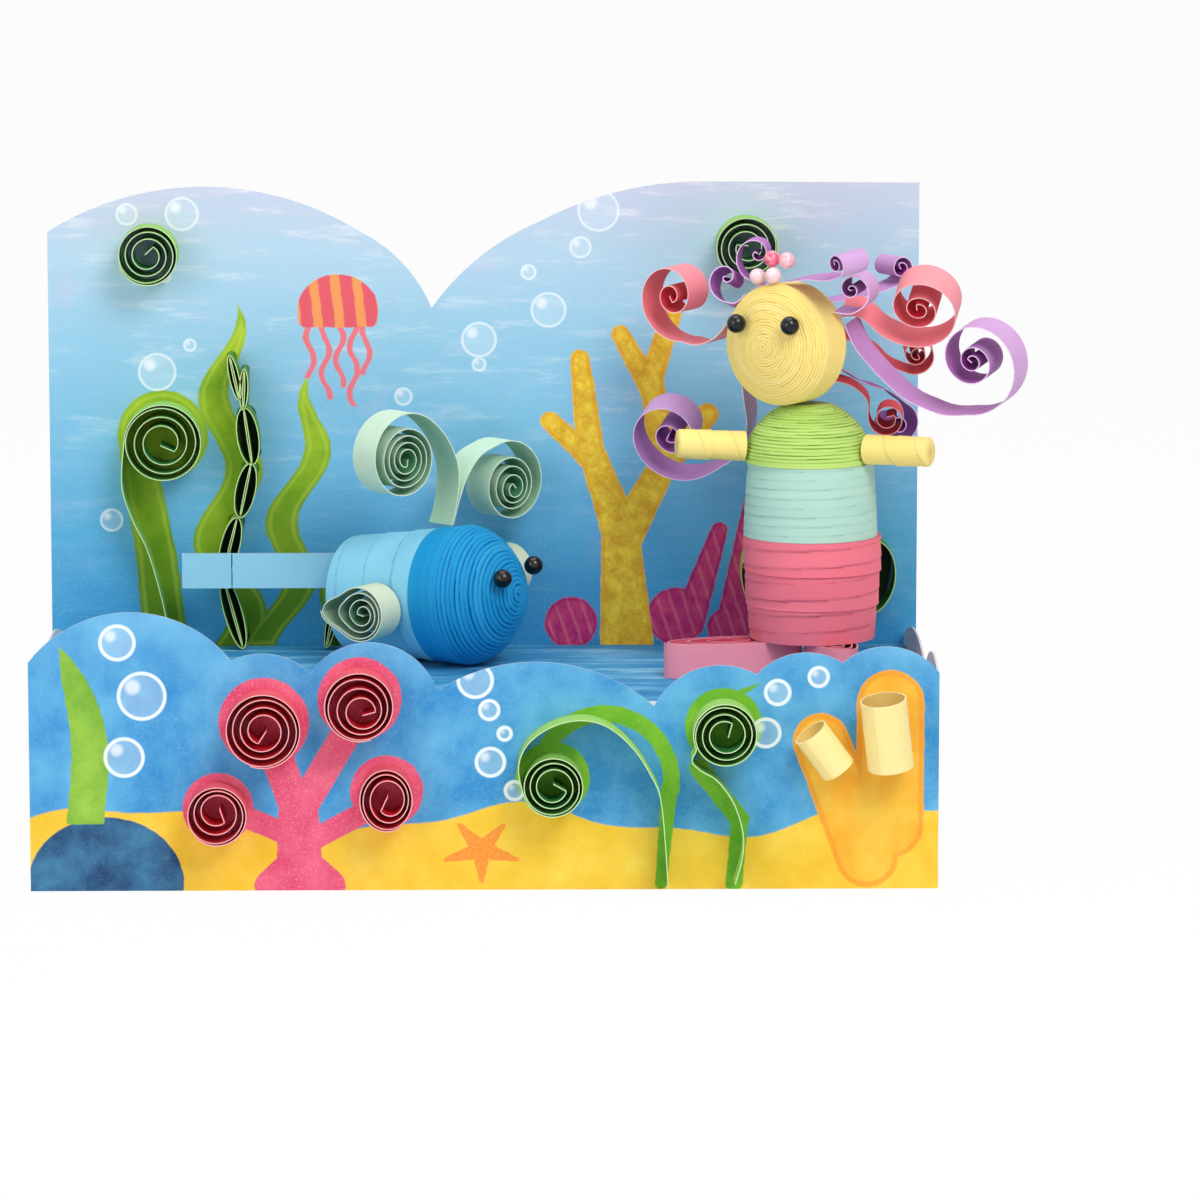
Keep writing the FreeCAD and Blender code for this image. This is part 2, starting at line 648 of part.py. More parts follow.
def make_hair():
    curl("curl_pink_left", (-18.6, 6.8, -0.4), 37, 3, (-22.4, 5.9), 14.7, 2.0, 2.0, -77, -1,
         stem=[(-3.3, -4.1), (-6.9, -6.9), (-12.9, -9.1)])
    curl("curl_lilac_left", (-18.7, -8.6, -3.0), 20, 20, (-24.1, -25.6), 16.8, 2.0, 2.2, -60, -1,
         stem=[(1.8, -1.6), (2.1, -11.5), (2.1, -21.4), (-0.8, -30.1), (-7.4, -35.4)])
    curl("curl_purple_top", (-9.8, 17.2, -6.0), 10, 0, (-1.8, 10.1), 8.1, 1.0, 1.3, -123, -1,
         stem=[(-2.1, 0.9)])
    curl("curl_purple_side", (-12.5, 15.2, -0.6), 20, -15, (-6.9, 5.0), 8.0, 0.9, 1.3, -83, -1,
         stem=[(-2.9, -2.9)])
    curl("curl_lilac_top", (2.5, 19.7, -0.6), 50, 8, (23.9, 7.4), 3.9, 1.4, 1.5, -64, 1,
         stem=[(10.5, 1.6), (18.8, 1.9)])
    curl("curl_lilac_brow", (17.1, 10.8, -6.0), 20, 5, (5.9, 7.2), 6.4, 1.0, 1.6, -47, 1,
         stem=[(5.6, -0.4)])
    curl("curl_lilac_crown", (1.7, 11.5, -17.9), -30, 0, (33.0, 9.4), 4.8, 1.6, 1.6, -81, 1,
         stem=[(14.0, 0.4), (24.0, 2.0)])
    curl("curl_pink_ring", (13.0, 8.3, -16.0), 15, 28, (25.1, 3.2), 14.7, 2.0, 2.6, -114, 1,
         stem=[(6.4, -0.3), (12.5, -6.8)])
    curl("curl_big_loop", (18.6, 6.5, -10.0), 27, 10, (42.4, -9.7), 17.7, 1.6, 2.7, -100, 1,
         stem=[(3.3, -7.6), (10.9, -16.4), (18.5, -22.8), (24.9, -25.6), (31.7, -27.5)])
    curl("curl_red_middle", (1.0, 0.7, -20.3), 0, 10, (31.9, -6.1), 6.7, 1.4, 2.2, -122, 1,
         stem=[(10.0, -1.0), (18.6, -4.8), (23.4, -9.4)])
    curl("curl_red_low", (6.9, -12.3, -16.7), 5, 5, (19.6, -12.3), 6.1, 2.4, 1.6, 175, 1,
         stem=[(7.5, -1.4), (13.0, -6.0)])
    curl("curl_purple_low", (0.7, -8.0, -18.8), -20, 5, (30.8, -21.4), 7.7, 1.5, 1.6, 73, -1,
         stem=[(10.0, -2.0), (19.1, -7.1), (26.8, -9.7)])
    for number, (right, up, out) in enumerate([
            (-8.0, 20.9, -0.6), (-1.0, 21.8, 1.0), (-2.8, 26.7, -1.0), (2.8, 26.5, -1.0)],
            start=1):
        bead("hair_bead_%d" % number, on_head(right, up, out), "hair_bead_radius")


make_backdrop()
make_wave_tray()
make_deck()
make_backdrop_quills()
make_front_quills()
make_whale()
make_doll()
make_hair()
doc.recompute()

for thing in doc.Objects:
    if "Invalid" in thing.State or "Error" in thing.State:
        raise SystemExit("failed: " + thing.Label)
os.makedirs("parts", exist_ok=True)
for piece in pieces:
    if piece.Shape.isNull() or not piece.Shape.isValid() or not piece.Shape.Solids:
        raise SystemExit("no sound solid: " + piece.Label)
    piece.Shape.exportStep("parts/%s.step" % piece.Label)
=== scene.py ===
"""Quilled paper seascape: printed card, wound paper strips, beads and curled hair strips.

Every piece is worked out in millimetres in the CAD frame (+X right, +Y away, +Z up) and put
into its mesh in metres.
"""
import math

import bpy
import numpy as np
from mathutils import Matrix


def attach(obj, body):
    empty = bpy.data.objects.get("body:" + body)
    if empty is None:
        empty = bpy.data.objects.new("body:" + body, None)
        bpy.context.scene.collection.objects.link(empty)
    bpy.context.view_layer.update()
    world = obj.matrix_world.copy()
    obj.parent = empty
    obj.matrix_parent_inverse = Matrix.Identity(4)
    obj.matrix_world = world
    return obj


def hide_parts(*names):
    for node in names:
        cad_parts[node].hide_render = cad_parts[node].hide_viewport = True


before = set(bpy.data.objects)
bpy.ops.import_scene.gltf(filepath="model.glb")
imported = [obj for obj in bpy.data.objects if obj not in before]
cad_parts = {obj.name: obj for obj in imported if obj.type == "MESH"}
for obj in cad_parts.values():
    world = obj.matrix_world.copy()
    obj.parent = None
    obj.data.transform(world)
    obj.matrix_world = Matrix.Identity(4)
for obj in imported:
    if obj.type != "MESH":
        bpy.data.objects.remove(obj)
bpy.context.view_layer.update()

MM = 0.001
DEPTH = 110.0
DECK = 58.9
STRIP = 11.0
PAPER = 0.3
FILM = 0.1
TURN_STEPS = 44
ROUND_COLUMNS = 144
EYE_RADIUS = 3.0
HAIR_BEAD_RADIUS = 2.6

# The seaweed's loops and the loose leaves: half length, half width, tilt and place
SEAWEED_FOOT = -80.0
SEAWEED = [(7.6, 1.7, 12, (0.0, 88.6)), (6.9, 1.5, -2, (3.0, 84.8)), (9.6, 3.6, 8, (4.2, 69.6)),
           (9.2, 3.3, -12, (3.3, 52.1)), (10.0, 3.2, -14, (-1.8, 33.9)),
           (12.3, 3.0, 15, (-1.0, 12.4))]
LEAVES = [("leaf_behind_whale", -49.3, 68.3, 8.9, 1.7, -12),
          ("leaf_behind_left", 88.5, 81.0, 12.0, 5.6, 10),
          ("leaf_behind_right", 124.0, 82.2, 12.6, 8.6, -8)]


# Shader maths

class Shade:
    """A value or colour on its way through a material. Arithmetic on it adds the nodes."""

    def __init__(self, paint, socket):
        self.paint, self.socket = paint, socket

    def maths(self, operation, *others, **settings):
        """One step of arithmetic, with this value first."""
        return self.paint.node("ShaderNodeMath", dict(operation=operation, **settings),
                               self, *others)

    def __add__(self, other):
        return self.maths("ADD", other)

    def __sub__(self, other):
        return self.maths("SUBTRACT", other)

    def __rsub__(self, other):
        return self.paint.node("ShaderNodeMath", dict(operation="SUBTRACT"), other, self)

    def __mul__(self, other):
        return self.maths("MULTIPLY", other)

    def __truediv__(self, other):
        return self.maths("DIVIDE", other)

    def __pow__(self, other):
        return self.maths("POWER", other)

    def __abs__(self):
        return self.maths("ABSOLUTE")

    __radd__ = __add__
    __rmul__ = __mul__

    def sine(self):
        """The sine of this value in radians."""
        return self.maths("SINE")

    def least(self, other):
        """The smaller of two, which joins two shapes."""
        return self.maths("MINIMUM", other)

    def most(self, other):
        """The larger of two, which keeps what two shapes share."""
        return self.maths("MAXIMUM", other)

    def held(self):
        """The value kept between 0 and 1."""
        return self.maths("ADD", 0.0, use_clamp=True)

    def rise(self, start, end):
        """A soft step: 0 at the start and 1 at the end."""
        return self.paint.node("ShaderNodeMapRange", dict(interpolation_type="SMOOTHSTEP"),
                               self, start, end, 0.0, 1.0)

    def inside(self, soft=0.25):
        """1 where a signed distance is below zero, with a soft edge in millimetres."""
        return self.rise(soft, -soft)


class Paint:
    """One material and the nodes in it."""

    def __init__(self, name):
        self.material = bpy.data.materials.new(name)
        self.material.use_nodes = True
        self.tree = self.material.node_tree
        self.shader = self.tree.nodes["Principled BSDF"]
        self.spots = {}

    def feed(self, socket, value):
        """A link from a shade, or a plain value. A colour gets its alpha."""
        if isinstance(value, Shade):
            self.tree.links.new(value.socket, socket)
        elif socket.type == "RGBA":
            socket.default_value = (*value, 1.0)
        else:
            socket.default_value = value

    def node(self, kind, settings=None, *values, out=0, **named):
        """A node: its settings first, then values or links for its sockets."""
        made = self.tree.nodes.new(kind)
        for key, value in (settings or {}).items():
            if key == "stops":
                ramp = made.color_ramp
                while len(ramp.elements) < len(value):
                    ramp.elements.new(0.5)
                for element, (place, colour) in zip(ramp.elements, value):
                    element.position, element.color = place, (*colour, 1.0)
            else:
                setattr(made, key, value)
        for key, value in list(enumerate(values)) + list(named.items()):
            self.feed(made.inputs[key], value)
        return Shade(self, made.outputs[out])

    def spot(self):
        """Object coordinates in millimetres, as one vector."""
        if "vector" not in self.spots:
            place = self.node("ShaderNodeTexCoord", out="Object")
            self.spots["vector"] = self.node("ShaderNodeVectorMath", dict(operation="SCALE"),
                                             place, Scale=1000.0)
        return self.spots["vector"]

    def axes(self):
        """Object coordinates in millimetres, as x, y and z."""
        if "axes" not in self.spots:
            parted = self.node("ShaderNodeSeparateXYZ", None, self.spot())
            outs = parted.socket.node.outputs
            self.spots["axes"] = [Shade(self, outs[i]) for i in range(3)]
        return self.spots["axes"]

    def noise(self, scale, detail=3.0, rough=0.55, stretch=None):
        """Cloudy noise, about 0 to 1, so many cells to the millimetre."""
        place = self.spot()
        if stretch:
            place = self.node("ShaderNodeVectorMath", dict(operation="MULTIPLY"), place, stretch)
        return self.node("ShaderNodeTexNoise", None, place, Scale=scale, Detail=detail,
                         Roughness=rough)

    def attribute(self, name):
        """A number stored on the mesh."""
        return self.node("ShaderNodeAttribute", dict(attribute_name=name), out="Fac")

    def blend(self, share, a, b):
        """Colour a where the share is 0 and colour b where it is 1."""
        made = self.tree.nodes.new("ShaderNodeMix")
        made.data_type = "RGBA"
        for number, value in ((0, share), (6, a), (7, b)):
            self.feed(made.inputs[number], value)
        return Shade(self, made.outputs[2])

    def patches(self, cloud, start, gain, a, b, share=1.0):
        """Colour a where the cloud is low, going over to b as it rises from the start."""
        return self.blend(((cloud - start) * gain).held() * share, a, b)

    def finish(self, colour, rough, bump=None, height=0.05, shine=0.3):
        """Colour, roughness, shine and a bump whose height is in millimetres."""
        for key, value in (("Base Color", colour), ("Roughness", rough),
                           ("Specular IOR Level", shine)):
            self.feed(self.shader.inputs[key], value)
        if bump is not None:
            bumped = self.node("ShaderNodeBump", None, Strength=1.0, Distance=height * MM,
                               Height=bump)
            self.tree.links.new(bumped.socket, self.shader.inputs["Normal"])
        return self.material


def rgb(r, g, b):
    """A colour as seen on screen, 0 to 255, as linear light."""
    return tuple(round((c / 255) ** 2.2, 4) for c in (r, g, b))


# Paper and bead finishes

def strip_paper(name, face, deep, edge):
    """Dyed paper strip: the face colour, painted shade (a deeper tone) on the hollow side and
    towards the core where the turns shade each other, and pale cut edges."""
    p = Paint(name)
    core, hollow, cut = p.attribute("core"), p.attribute("hollow"), p.attribute("cut")
    fibre = p.noise(1.6, 4.0, 0.65)
    cloud = p.noise(0.12, 2.0, 0.5)
    # Painted shade: the colour deepens towards the core and on the hollow side, where the turns shade
    # each other.
    share = (core * 0.85 + hollow * 0.42 + (cloud - 0.5) * 0.2).held()
    colour = p.blend(share, face, deep)
    colour = p.blend((fibre - 0.5).held() * 0.35, colour, edge)
    colour = p.blend(cut, colour, edge)
    return p.finish(colour, 0.72, fibre, 0.04)


def wound_paper(name, face, groove, crest, streak=1.0):
    """Paper wound edge out: painted shade in the grooves, dark seams, and turns that differ a little.
    """
    p = Paint(name)
    depth = p.attribute("groove")
    turn = p.attribute("turn")
    tone = p.node("ShaderNodeTexNoise", dict(noise_dimensions="1D"), W=turn * 1.7, Scale=1.0,
                  Detail=2.0)
    fibre = p.noise(1.4, 4.0, 0.65)
    # Painted shade in the grooves between turns, and a dark line along each band seam.
    colour = p.blend(depth ** 2.0, face, groove)
    colour = p.blend((tone - 0.42).held() * streak, colour, crest)
    colour = p.blend((fibre - 0.5).held() * 0.3, colour, crest)
    return p.finish(colour, 0.72, fibre, 0.05)


def bead_glass(name, colour, rough=0.12, coat=0.6):
    """A coated bead with pale swirls."""
    p = Paint(name)
    swirl = p.noise(0.5, 2.0, 0.5)
    p.feed(p.shader.inputs["Coat Weight"], coat)
    swirled = p.blend((swirl - 0.4).held() * 1.2, colour, rgb(255, 240, 244))
    return p.finish(swirled, rough, shine=0.6)


def black_bead():
    """A polished black bead with a faint smear."""
    p = Paint("black_bead")
    p.feed(p.shader.inputs["Coat Weight"], 0.3)
    p.feed(p.shader.inputs["Coat Roughness"], 0.03)
    smear = p.noise(0.7, 2.0, 0.5)
    return p.finish(rgb(4, 4, 7), 0.12 + smear * 0.08, shine=0.25)


# Printed card

def disc(x, z, cx, cz, radius):
    """Distance to a circle: the reach from its centre less its radius."""
    return ((x - cx) ** 2.0 + (z - cz) ** 2.0) ** 0.5 - radius


def rod(x, z, a, b, radius, taper=0.0):
    """Distance to a round-ended bar from a to b. The taper takes its end thinner."""
    dx, dz = b[0] - a[0], b[1] - a[1]
    share = (((x - a[0]) * dx + (z - a[1]) * dz) / (dx * dx + dz * dz)).held()
    return ((x - a[0] - share * dx) ** 2.0 + (z - a[1] - share * dz) ** 2.0) ** 0.5 - (
        radius - share * taper)


def blade(x, z, foot, tip, sway, waves, width, shift=0.0):
    """Distance to a wavy leaf blade: its middle line sways as a sine of the height, and its
    half width falls from the foot to a point as 1 less the fifth power of the height."""
    rise = ((z - foot[1]) / (tip[1] - foot[1])).held()
    wave = (rise * (2 * math.pi * waves) + shift).sine()
    middle = foot[0] + rise * (tip[0] - foot[0]) + wave * (sway * (1 - rise * 0.3))
    half = (1.0 - rise ** 5.0) * (width / 2)
    return (abs(x - middle) - half).most(z - tip[1]).most(foot[1] - z)


def merged(distances):
    """The nearest of several shapes."""
    nearest = distances[0]
    for distance in distances[1:]:
        nearest = nearest.least(distance)
    return nearest


def bubbles(p, colour, x, z, spots, ring=0.55, strength=0.85):
    """White rings with a pale inside and a highlight near the upper left."""
    rings, fills, lights = [], [], []
    for cx, cz, radius in spots:
        distance = disc(x, z, cx, cz, radius)
        rings.append(abs(distance) - ring)
        fills.append(distance)
        lights.append(disc(x, z, cx - 0.4 * radius, cz + 0.4 * radius, 0.32 * radius))
    colour = p.blend(merged(fills).inside() * 0.22, colour, rgb(225, 244, 255))
    colour = p.blend(merged(lights).inside(0.9) * 0.6, colour, rgb(255, 255, 255))
    return p.blend(merged(rings).inside(0.22) * strength, colour, rgb(245, 252, 255))


def card_finish(p, printed, art):
    """The art on the printed face, and bare grey card on the others."""
    grain = p.noise(1.1, 5.0, 0.7)
    bare = p.blend((grain - 0.4).held(), rgb(214, 217, 220), rgb(236, 238, 240))
    colour = p.blend(printed, bare, art)
    return p.finish(colour, 0.55 + grain * 0.2, grain, 0.035)


def washed(p, dark, light):
    """Uneven watercolour, with speckle on top."""
    cloud = p.noise(0.045, 5.0, 0.6)
    speck = p.noise(0.9, 4.0, 0.75)
    colour = p.patches(cloud, 0.38, 3.2, dark, light)
    return p.patches(speck, 0.55, 2.4, colour, rgb(190, 224, 243), 0.5)


def wandering(p, x, z, reach=0.5):
    """The same place with a small hand-drawn wander."""
    sway = (p.noise(0.25, 3.0, 0.6) - 0.5) * (2 * reach)
    return x + sway, z + sway * 0.8


def front_card():
    """The front wall: blue water, sand, a rock, coral, grasses, sponges, a star and bubbles."""
    p = Paint("front_print")
    x, y, z = p.axes()
    wx, wz = wandering(p, x, z)
    cloud = p.noise(0.07, 4.0, 0.6)
    speck = p.noise(1.3, 3.0, 0.7)
    water = washed(p, rgb(52, 140, 204), rgb(104, 183, 228))
    water = p.blend(((z - 62.0) / 24.0 + (cloud - 0.5)).held() * 0.45, water, rgb(128, 196, 232))

    level = 21.5 + (wx * 0.052 + 1.1).sine() * 4.6 + (wx * 0.13).sine() * 1.6
    sand = p.patches(cloud, 0.3, 2.2, rgb(238, 190, 40), rgb(250, 216, 86))
    sand = p.patches(speck, 0.5, 3.0, sand, rgb(226, 172, 38), 0.5)
    art = p.blend((wz - level).inside(0.35), water, sand)

    star = merged([rod(wx, wz, (-1.0, 12.5), (-1.0 + 11.5 * math.cos(a), 12.5 + 9.6 * math.sin(a)),
                       3.0, 2.3) for a in [math.radians(54 + 72 * i) for i in range(5)]])
    orange = p.patches(speck, 0.4, 2.0, rgb(238, 140, 44), rgb(248, 178, 96))
    art = p.blend(star.inside(), art, orange)
    rock = disc(wx * 0.86, wz, -100.4, 2.5, 20.6)
    stone = p.patches(cloud, 0.35, 2.4, rgb(30, 62, 106), rgb(72, 138, 178))
    art = p.blend(rock.inside(), art, stone)
    leaf = blade(wx, wz, (-120.4, 21.0), (-131.6, 76.5), 5.6, 0.52, 11.5, -0.5)
    blade_green = p.patches(cloud, 0.3, 2.4, rgb(102, 158, 48), rgb(158, 205, 74))
    art = p.blend(leaf.inside(), art, blade_green)

    trunk = (-57.0, 3.0)
    fork = (-57.4, 24.0)
    coral = merged([
        rod(wx, wz, trunk, fork, 7.4, 1.2), rod(wx, wz, (-66.0, 1.5), (-58.0, 9.0), 5.0),
        rod(wx, wz, (-48.0, 1.5), (-56.0, 9.0), 5.0),
        rod(wx, wz, fork, (-64.0, 42.0), 5.0), rod(wx, wz, fork, (-42.5, 49.0), 4.6),
        rod(wx, wz, (-57.2, 16.0), (-78.0, 25.0), 3.4),
        rod(wx, wz, (-56.5, 14.0), (-34.0, 26.0), 3.4),
        disc(wx, wz, -67.8, 52.6, 13.9), disc(wx, wz, -38.3, 59.9, 12.9),
        disc(wx, wz, -82.1, 25.9, 10.9), disc(wx, wz, -30.1, 31.0, 11.2)])
    red = p.patches(cloud, 0.3, 2.6, rgb(214, 62, 108), rgb(240, 112, 142))
    red = p.patches(speck, 0.52, 3.0, red, rgb(250, 190, 196), 0.6)
    art = p.blend(coral.inside(), art, red)

    arch = abs(disc(wx, wz * 0.98, 37.0, 34.0 * 0.98, 20.6)) - 2.6
    grass = merged([arch.most(30.0 - wz), disc(wx, wz, 21.0, 35.0, 11.4),
                    rod(wx, wz, (56.9, 32.0), (54.4, 2.0), 2.6, 0.8),
                    disc(wx, wz, 73.6, 51.0, 12.0), rod(wx, wz, (66.0, 38.0), (78.6, 22.0), 3.0),
                    rod(wx, wz, (78.6, 22.0), (77.0, 2.0), 2.6),
                    rod(wx, wz, (76.0, 60.0), (85.0, 64.4), 1.6, 1.5)])
    green = p.patches(cloud, 0.3, 2.2, rgb(86, 160, 40), rgb(140, 200, 52))
    art = p.blend(grass.inside(), art, green)
    sponge = merged([rod(wx, wz, (125.0, 20.0), (125.0, 58.0), 10.4),
                     rod(wx, wz, (118.0, 10.0), (103.6, 46.4), 9.6, 1.0)])
    amber = p.patches(cloud, 0.3, 2.2, rgb(244, 168, 40), rgb(250, 206, 78))
    art = p.blend(sponge.inside(), art, amber)
    rim = abs(sponge + 0.9) - 0.8
    art = p.blend(rim.inside(0.5) * 0.5, art, rgb(236, 140, 44))
    art = bubbles(p, art, x, z, [
        (-112.6, 77.5, 5.2), (-105.2, 60.9, 7.1), (-110.8, 41.8, 5.8), (-2.8, 65.5, 5.2),
        (1.5, 56.3, 2.9), (6.2, 48.9, 2.0), (1.8, 40.0, 4.3), (9.2, 31.1, 2.8),
        (90.2, 61.5, 3.7), (102.8, 66.3, 2.9), (86.6, 48.9, 4.3)])
    art = p.patches(speck, 0.58, 3.0, art, rgb(214, 236, 248), 0.4)
    return card_finish(p, (y - 0.1).inside(0.05), art)


def backdrop_card():
    """The backdrop: light above and deep water below, weeds, painted shade in dark green behind
    each leaf loop, magenta fans, a branching golden coral, a jellyfish and bubbles."""
    p = Paint("backdrop_print")
    x, y, z = p.axes()
    wx, wz = wandering(p, x, z, 0.6)
    cloud = p.noise(0.05, 4.0, 0.6)
    drift = p.noise(0.10, 5.0, 0.7, (0.35, 1.0, 2.2))
    speck = p.noise(1.1, 3.0, 0.7)
    height = ((z - 60.0) / 150.0 + (drift - 0.5) * 0.22).held()
    water = p.node("ShaderNodeValToRGB", dict(stops=[
        (0.0, rgb(52, 146, 202)), (0.22, rgb(88, 172, 216)), (0.45, rgb(124, 190, 224)),
        (0.66, rgb(150, 202, 228)), (0.84, rgb(178, 210, 230)), (1.0, rgb(200, 206, 228))]),
        height)
    water = p.blend(((drift - 0.54) * 4.0).held() * (height ** 1.5) * 0.9, water,
                    rgb(246, 250, 252))
    water = p.blend(((cloud - 0.56) * 5.0).held() * height * 0.5, water, rgb(214, 198, 228))
    art = p.patches(speck, 0.56, 2.6, water, rgb(226, 242, 250), 0.45)

    weeds = merged([
        blade(wx, wz, (-82.5, 56.0), (-82.5, 170.0), 6.0, 2.4, 12.6, -0.2),
        blade(wx, wz, (-68.0, 58.0), (-53.6, 147.0), 5.0, 2.1, 10.8, -1.6),
        rod(wx, wz, (-103.0, 56.0), (-106.0, 88.0), 7.4, 0.8),
        rod(wx, wz, (-106.0, 88.0), (-112.0, 122.0), 6.6, 1.0),
        disc(wx, wz, -103.6, 127.6, 14.6),
        blade(wx, wz, (-48.5, 56.0), (-50.5, 90.0), 1.6, 0.8, 7.5, 0.4)])
    leaf_tone = p.patches(cloud, 0.3, 2.4, rgb(112, 160, 22), rgb(184, 212, 52))
    leaf_tone = p.blend(((z - 62.0) / 60.0).held(), rgb(88, 134, 22), leaf_tone)
    art = p.blend(weeds.inside(0.35), art, leaf_tone)
    art = p.blend((abs(weeds + 1.6) - 0.5).inside(0.7) * 0.35, art, rgb(206, 224, 92))
    # Painted shade: dark green behind each leaf loop, where the folded strips shade one another.
    loops = [(cx + SEAWEED_FOOT, cz + DECK, long, wide, tilt)
             for long, wide, tilt, (cx, cz) in SEAWEED]
    shaded = []
    for cx, cz, long, wide, tilt in loops + [leaf[1:] for leaf in LEAVES]:
        reach, a = long - wide, math.radians(tilt)
        dx, dz = -reach * math.sin(a), reach * math.cos(a)
        shaded.append(rod(x, z, (cx - dx, cz - dz), (cx + dx, cz + dz), 0.85 * wide))
    art = p.blend(merged(shaded).inside(0.4), art, rgb(18, 54, 28))

    coral = merged([rod(wx, wz, *bough) for bough in (
        ((46.0, 60.0), (44.0, 96.0), 8.6, 2.4), ((44.0, 96.0), (34.0, 124.0), 6.2, 2.0),
        ((44.0, 92.0), (58.0, 118.0), 6.4, 2.0), ((34.0, 124.0), (31.0, 152.0), 4.6, 1.4),
        ((36.0, 118.0), (21.0, 132.0), 4.0, 1.0), ((58.0, 118.0), (54.0, 146.0), 5.0, 1.4),
        ((58.0, 118.0), (72.0, 134.0), 4.8, 1.2), ((54.0, 146.0), (61.0, 168.0), 4.0, 1.0),
        ((54.0, 142.0), (44.0, 160.0), 3.8, 0.8))])
    dab = p.noise(0.22, 4.0, 0.7)
    gold = p.patches(dab, 0.36, 3.4, rgb(222, 164, 34), rgb(252, 216, 62))
    gold = p.patches(speck, 0.5, 3.0, gold, rgb(252, 234, 140), 0.45)
    fans = merged([disc(wx, wz, 28.0, 66.0, 8.5), disc(wx, wz, 62.0, 68.0, 9.5),
                   disc(wx, wz, 79.0, 64.0, 7.0), rod(wx, wz, (66.0, 66.0), (76.0, 96.0), 5.4, 2.6),
                   rod(wx, wz, (80.0, 66.0), (88.0, 112.0), 5.0, 2.4)])
    fan = p.patches(dab, 0.36, 3.0, rgb(190, 40, 112), rgb(226, 76, 120))
    fan = p.blend(((wx * 1.5 + wz * 0.5).sine() - 0.5).held() * 0.7, fan, rgb(246, 140, 150))
    art = p.blend(fans.inside(0.35), art, fan)
    art = p.blend((abs(fans + 0.7) - 0.4).inside(0.4) * 0.6, art, rgb(160, 24, 96))
    art = p.blend(coral.inside(0.35), art, gold)
    art = p.blend((abs(coral + 0.8) - 0.5).inside(0.6) * 0.5, art, rgb(236, 150, 30))

    bell = disc(wx, (wz - 168.0) * 1.12, -47.0, 0.0, 13.0).most(165.0 - wz)
    frill = disc((wx + 47.0) * 0.42, wz, 0.0, 165.2, 5.4).most(162.5 - wz)
    arms = merged([(abs(wx - cx - (wz * 0.42 + cx).sine() * 1.3) - 0.95).most(foot - wz)
                   for cx, foot in ((-56.0, 146.0), (-51.0, 139.0), (-46.5, 143.0), (-42.0, 137.0),
                                    (-38.0, 147.0))]).most(wz - 165.0)
    art = p.blend(arms.inside(), art, rgb(240, 120, 130))
    stripes = ((wx * 0.9 + (wz * 0.11).sine()).sine() * 2.2).held()
    striped = p.blend(stripes, rgb(232, 92, 106), rgb(246, 156, 92))
    art = p.blend(bell.least(frill).inside(), art, striped)
    art = bubbles(p, art, x, z, [
        (-96.8, 199.1, 5.1), (-114.5, 199.0, 3.2), (-102.6, 179.2, 2.0), (-105.2, 148.1, 5.8),
        (-94.6, 156.8, 1.8), (-1.6, 158.4, 5.4), (20.8, 168.0, 5.4), (36.9, 200.0, 6.4),
        (31.1, 188.2, 3.2), (-1.6, 150.4, 2.0), (14.4, 180.2, 2.2), (-26.0, 140.0, 2.6),
        (8.0, 112.0, 4.0), (-120.4, 100.0, 3.4)], ring=0.4, strength=0.6)
    return card_finish(p, (y - DEPTH - 0.1).inside(0.05), art)


def deck_card():
    """The deck: deep blue with pale streaks that run from side to side."""
    p = Paint("deck_print")
    z = p.axes()[2]
    streak = p.noise(0.09, 5.0, 0.65, (0.25, 1.6, 1.0))
    speck = p.noise(1.1, 3.0, 0.7)
    art = p.patches(streak, 0.36, 3.0, rgb(34, 122, 178), rgb(86, 172, 216))
    art = p.patches(streak, 0.54, 5.0, art, rgb(176, 218, 238), 0.8)
    art = p.patches(speck, 0.56, 2.6, art, rgb(190, 226, 242), 0.35)
    return card_finish(p, (DECK - 0.1 - z).inside(0.05), art)


# Shapes

def facing(point, yaw=0.0, pitch=0.0):
    """Origin and axes of a place whose X runs right, Y up and Z at the viewer. Yaw turns its
    back to the right and pitch lifts it."""
    a, b = math.radians(yaw), math.radians(pitch)
    back = np.array([math.sin(a) * math.cos(b), math.cos(a) * math.cos(b), math.sin(b)])
    right = np.array([math.cos(a), -math.sin(a), 0.0])
    return np.array(point, float), np.array([right, np.cross(right, back), -back])


def upright(point, turn=0.0):
    """Origin and axes of a place that only turns about the vertical."""
    a = math.radians(turn)
    return np.array(point, float), np.array(
        [[math.cos(a), math.sin(a), 0], [-math.sin(a), math.cos(a), 0], [0, 0, 1.0]])


def carried(place, spots):
    """Local points carried into the object's frame."""
    origin, axes = place
    return origin + np.asarray(spots, float) @ axes


def make_piece(name, spots, faces, material, nodes, values=None, flat=38.0):
    """A mesh from arrays of points and faces, shown in place of its CAD nodes."""
    mesh = bpy.data.meshes.new(name)
    mesh.from_pydata((spots * MM).tolist(), [], [tuple(f) for f in faces])
    mesh.update()
    mesh.shade_smooth()
    mesh.set_sharp_from_angle(angle=math.radians(flat))
    for word, (domain, numbers) in (values or {}).items():
        mesh.attributes.new(word, "FLOAT", domain).data.foreach_set(
            "value", np.ascontiguousarray(numbers, dtype=np.float32).ravel())
    mesh.materials.append(material)
    piece = bpy.data.objects.new(name, mesh)
    bpy.context.scene.collection.objects.link(piece)
    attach(piece, "root")
    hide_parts(*nodes)


def sideways(line, closed=False):
    """Unit vectors square to a line, on its left."""
    if closed:
        run = np.roll(line, -1, 0) - np.roll(line, 1, 0)
    else:
        run = np.gradient(line, axis=0)
    run /= np.linalg.norm(run, axis=1, keepdims=True)
    return np.stack([-run[:, 1], run[:, 0]], 1)


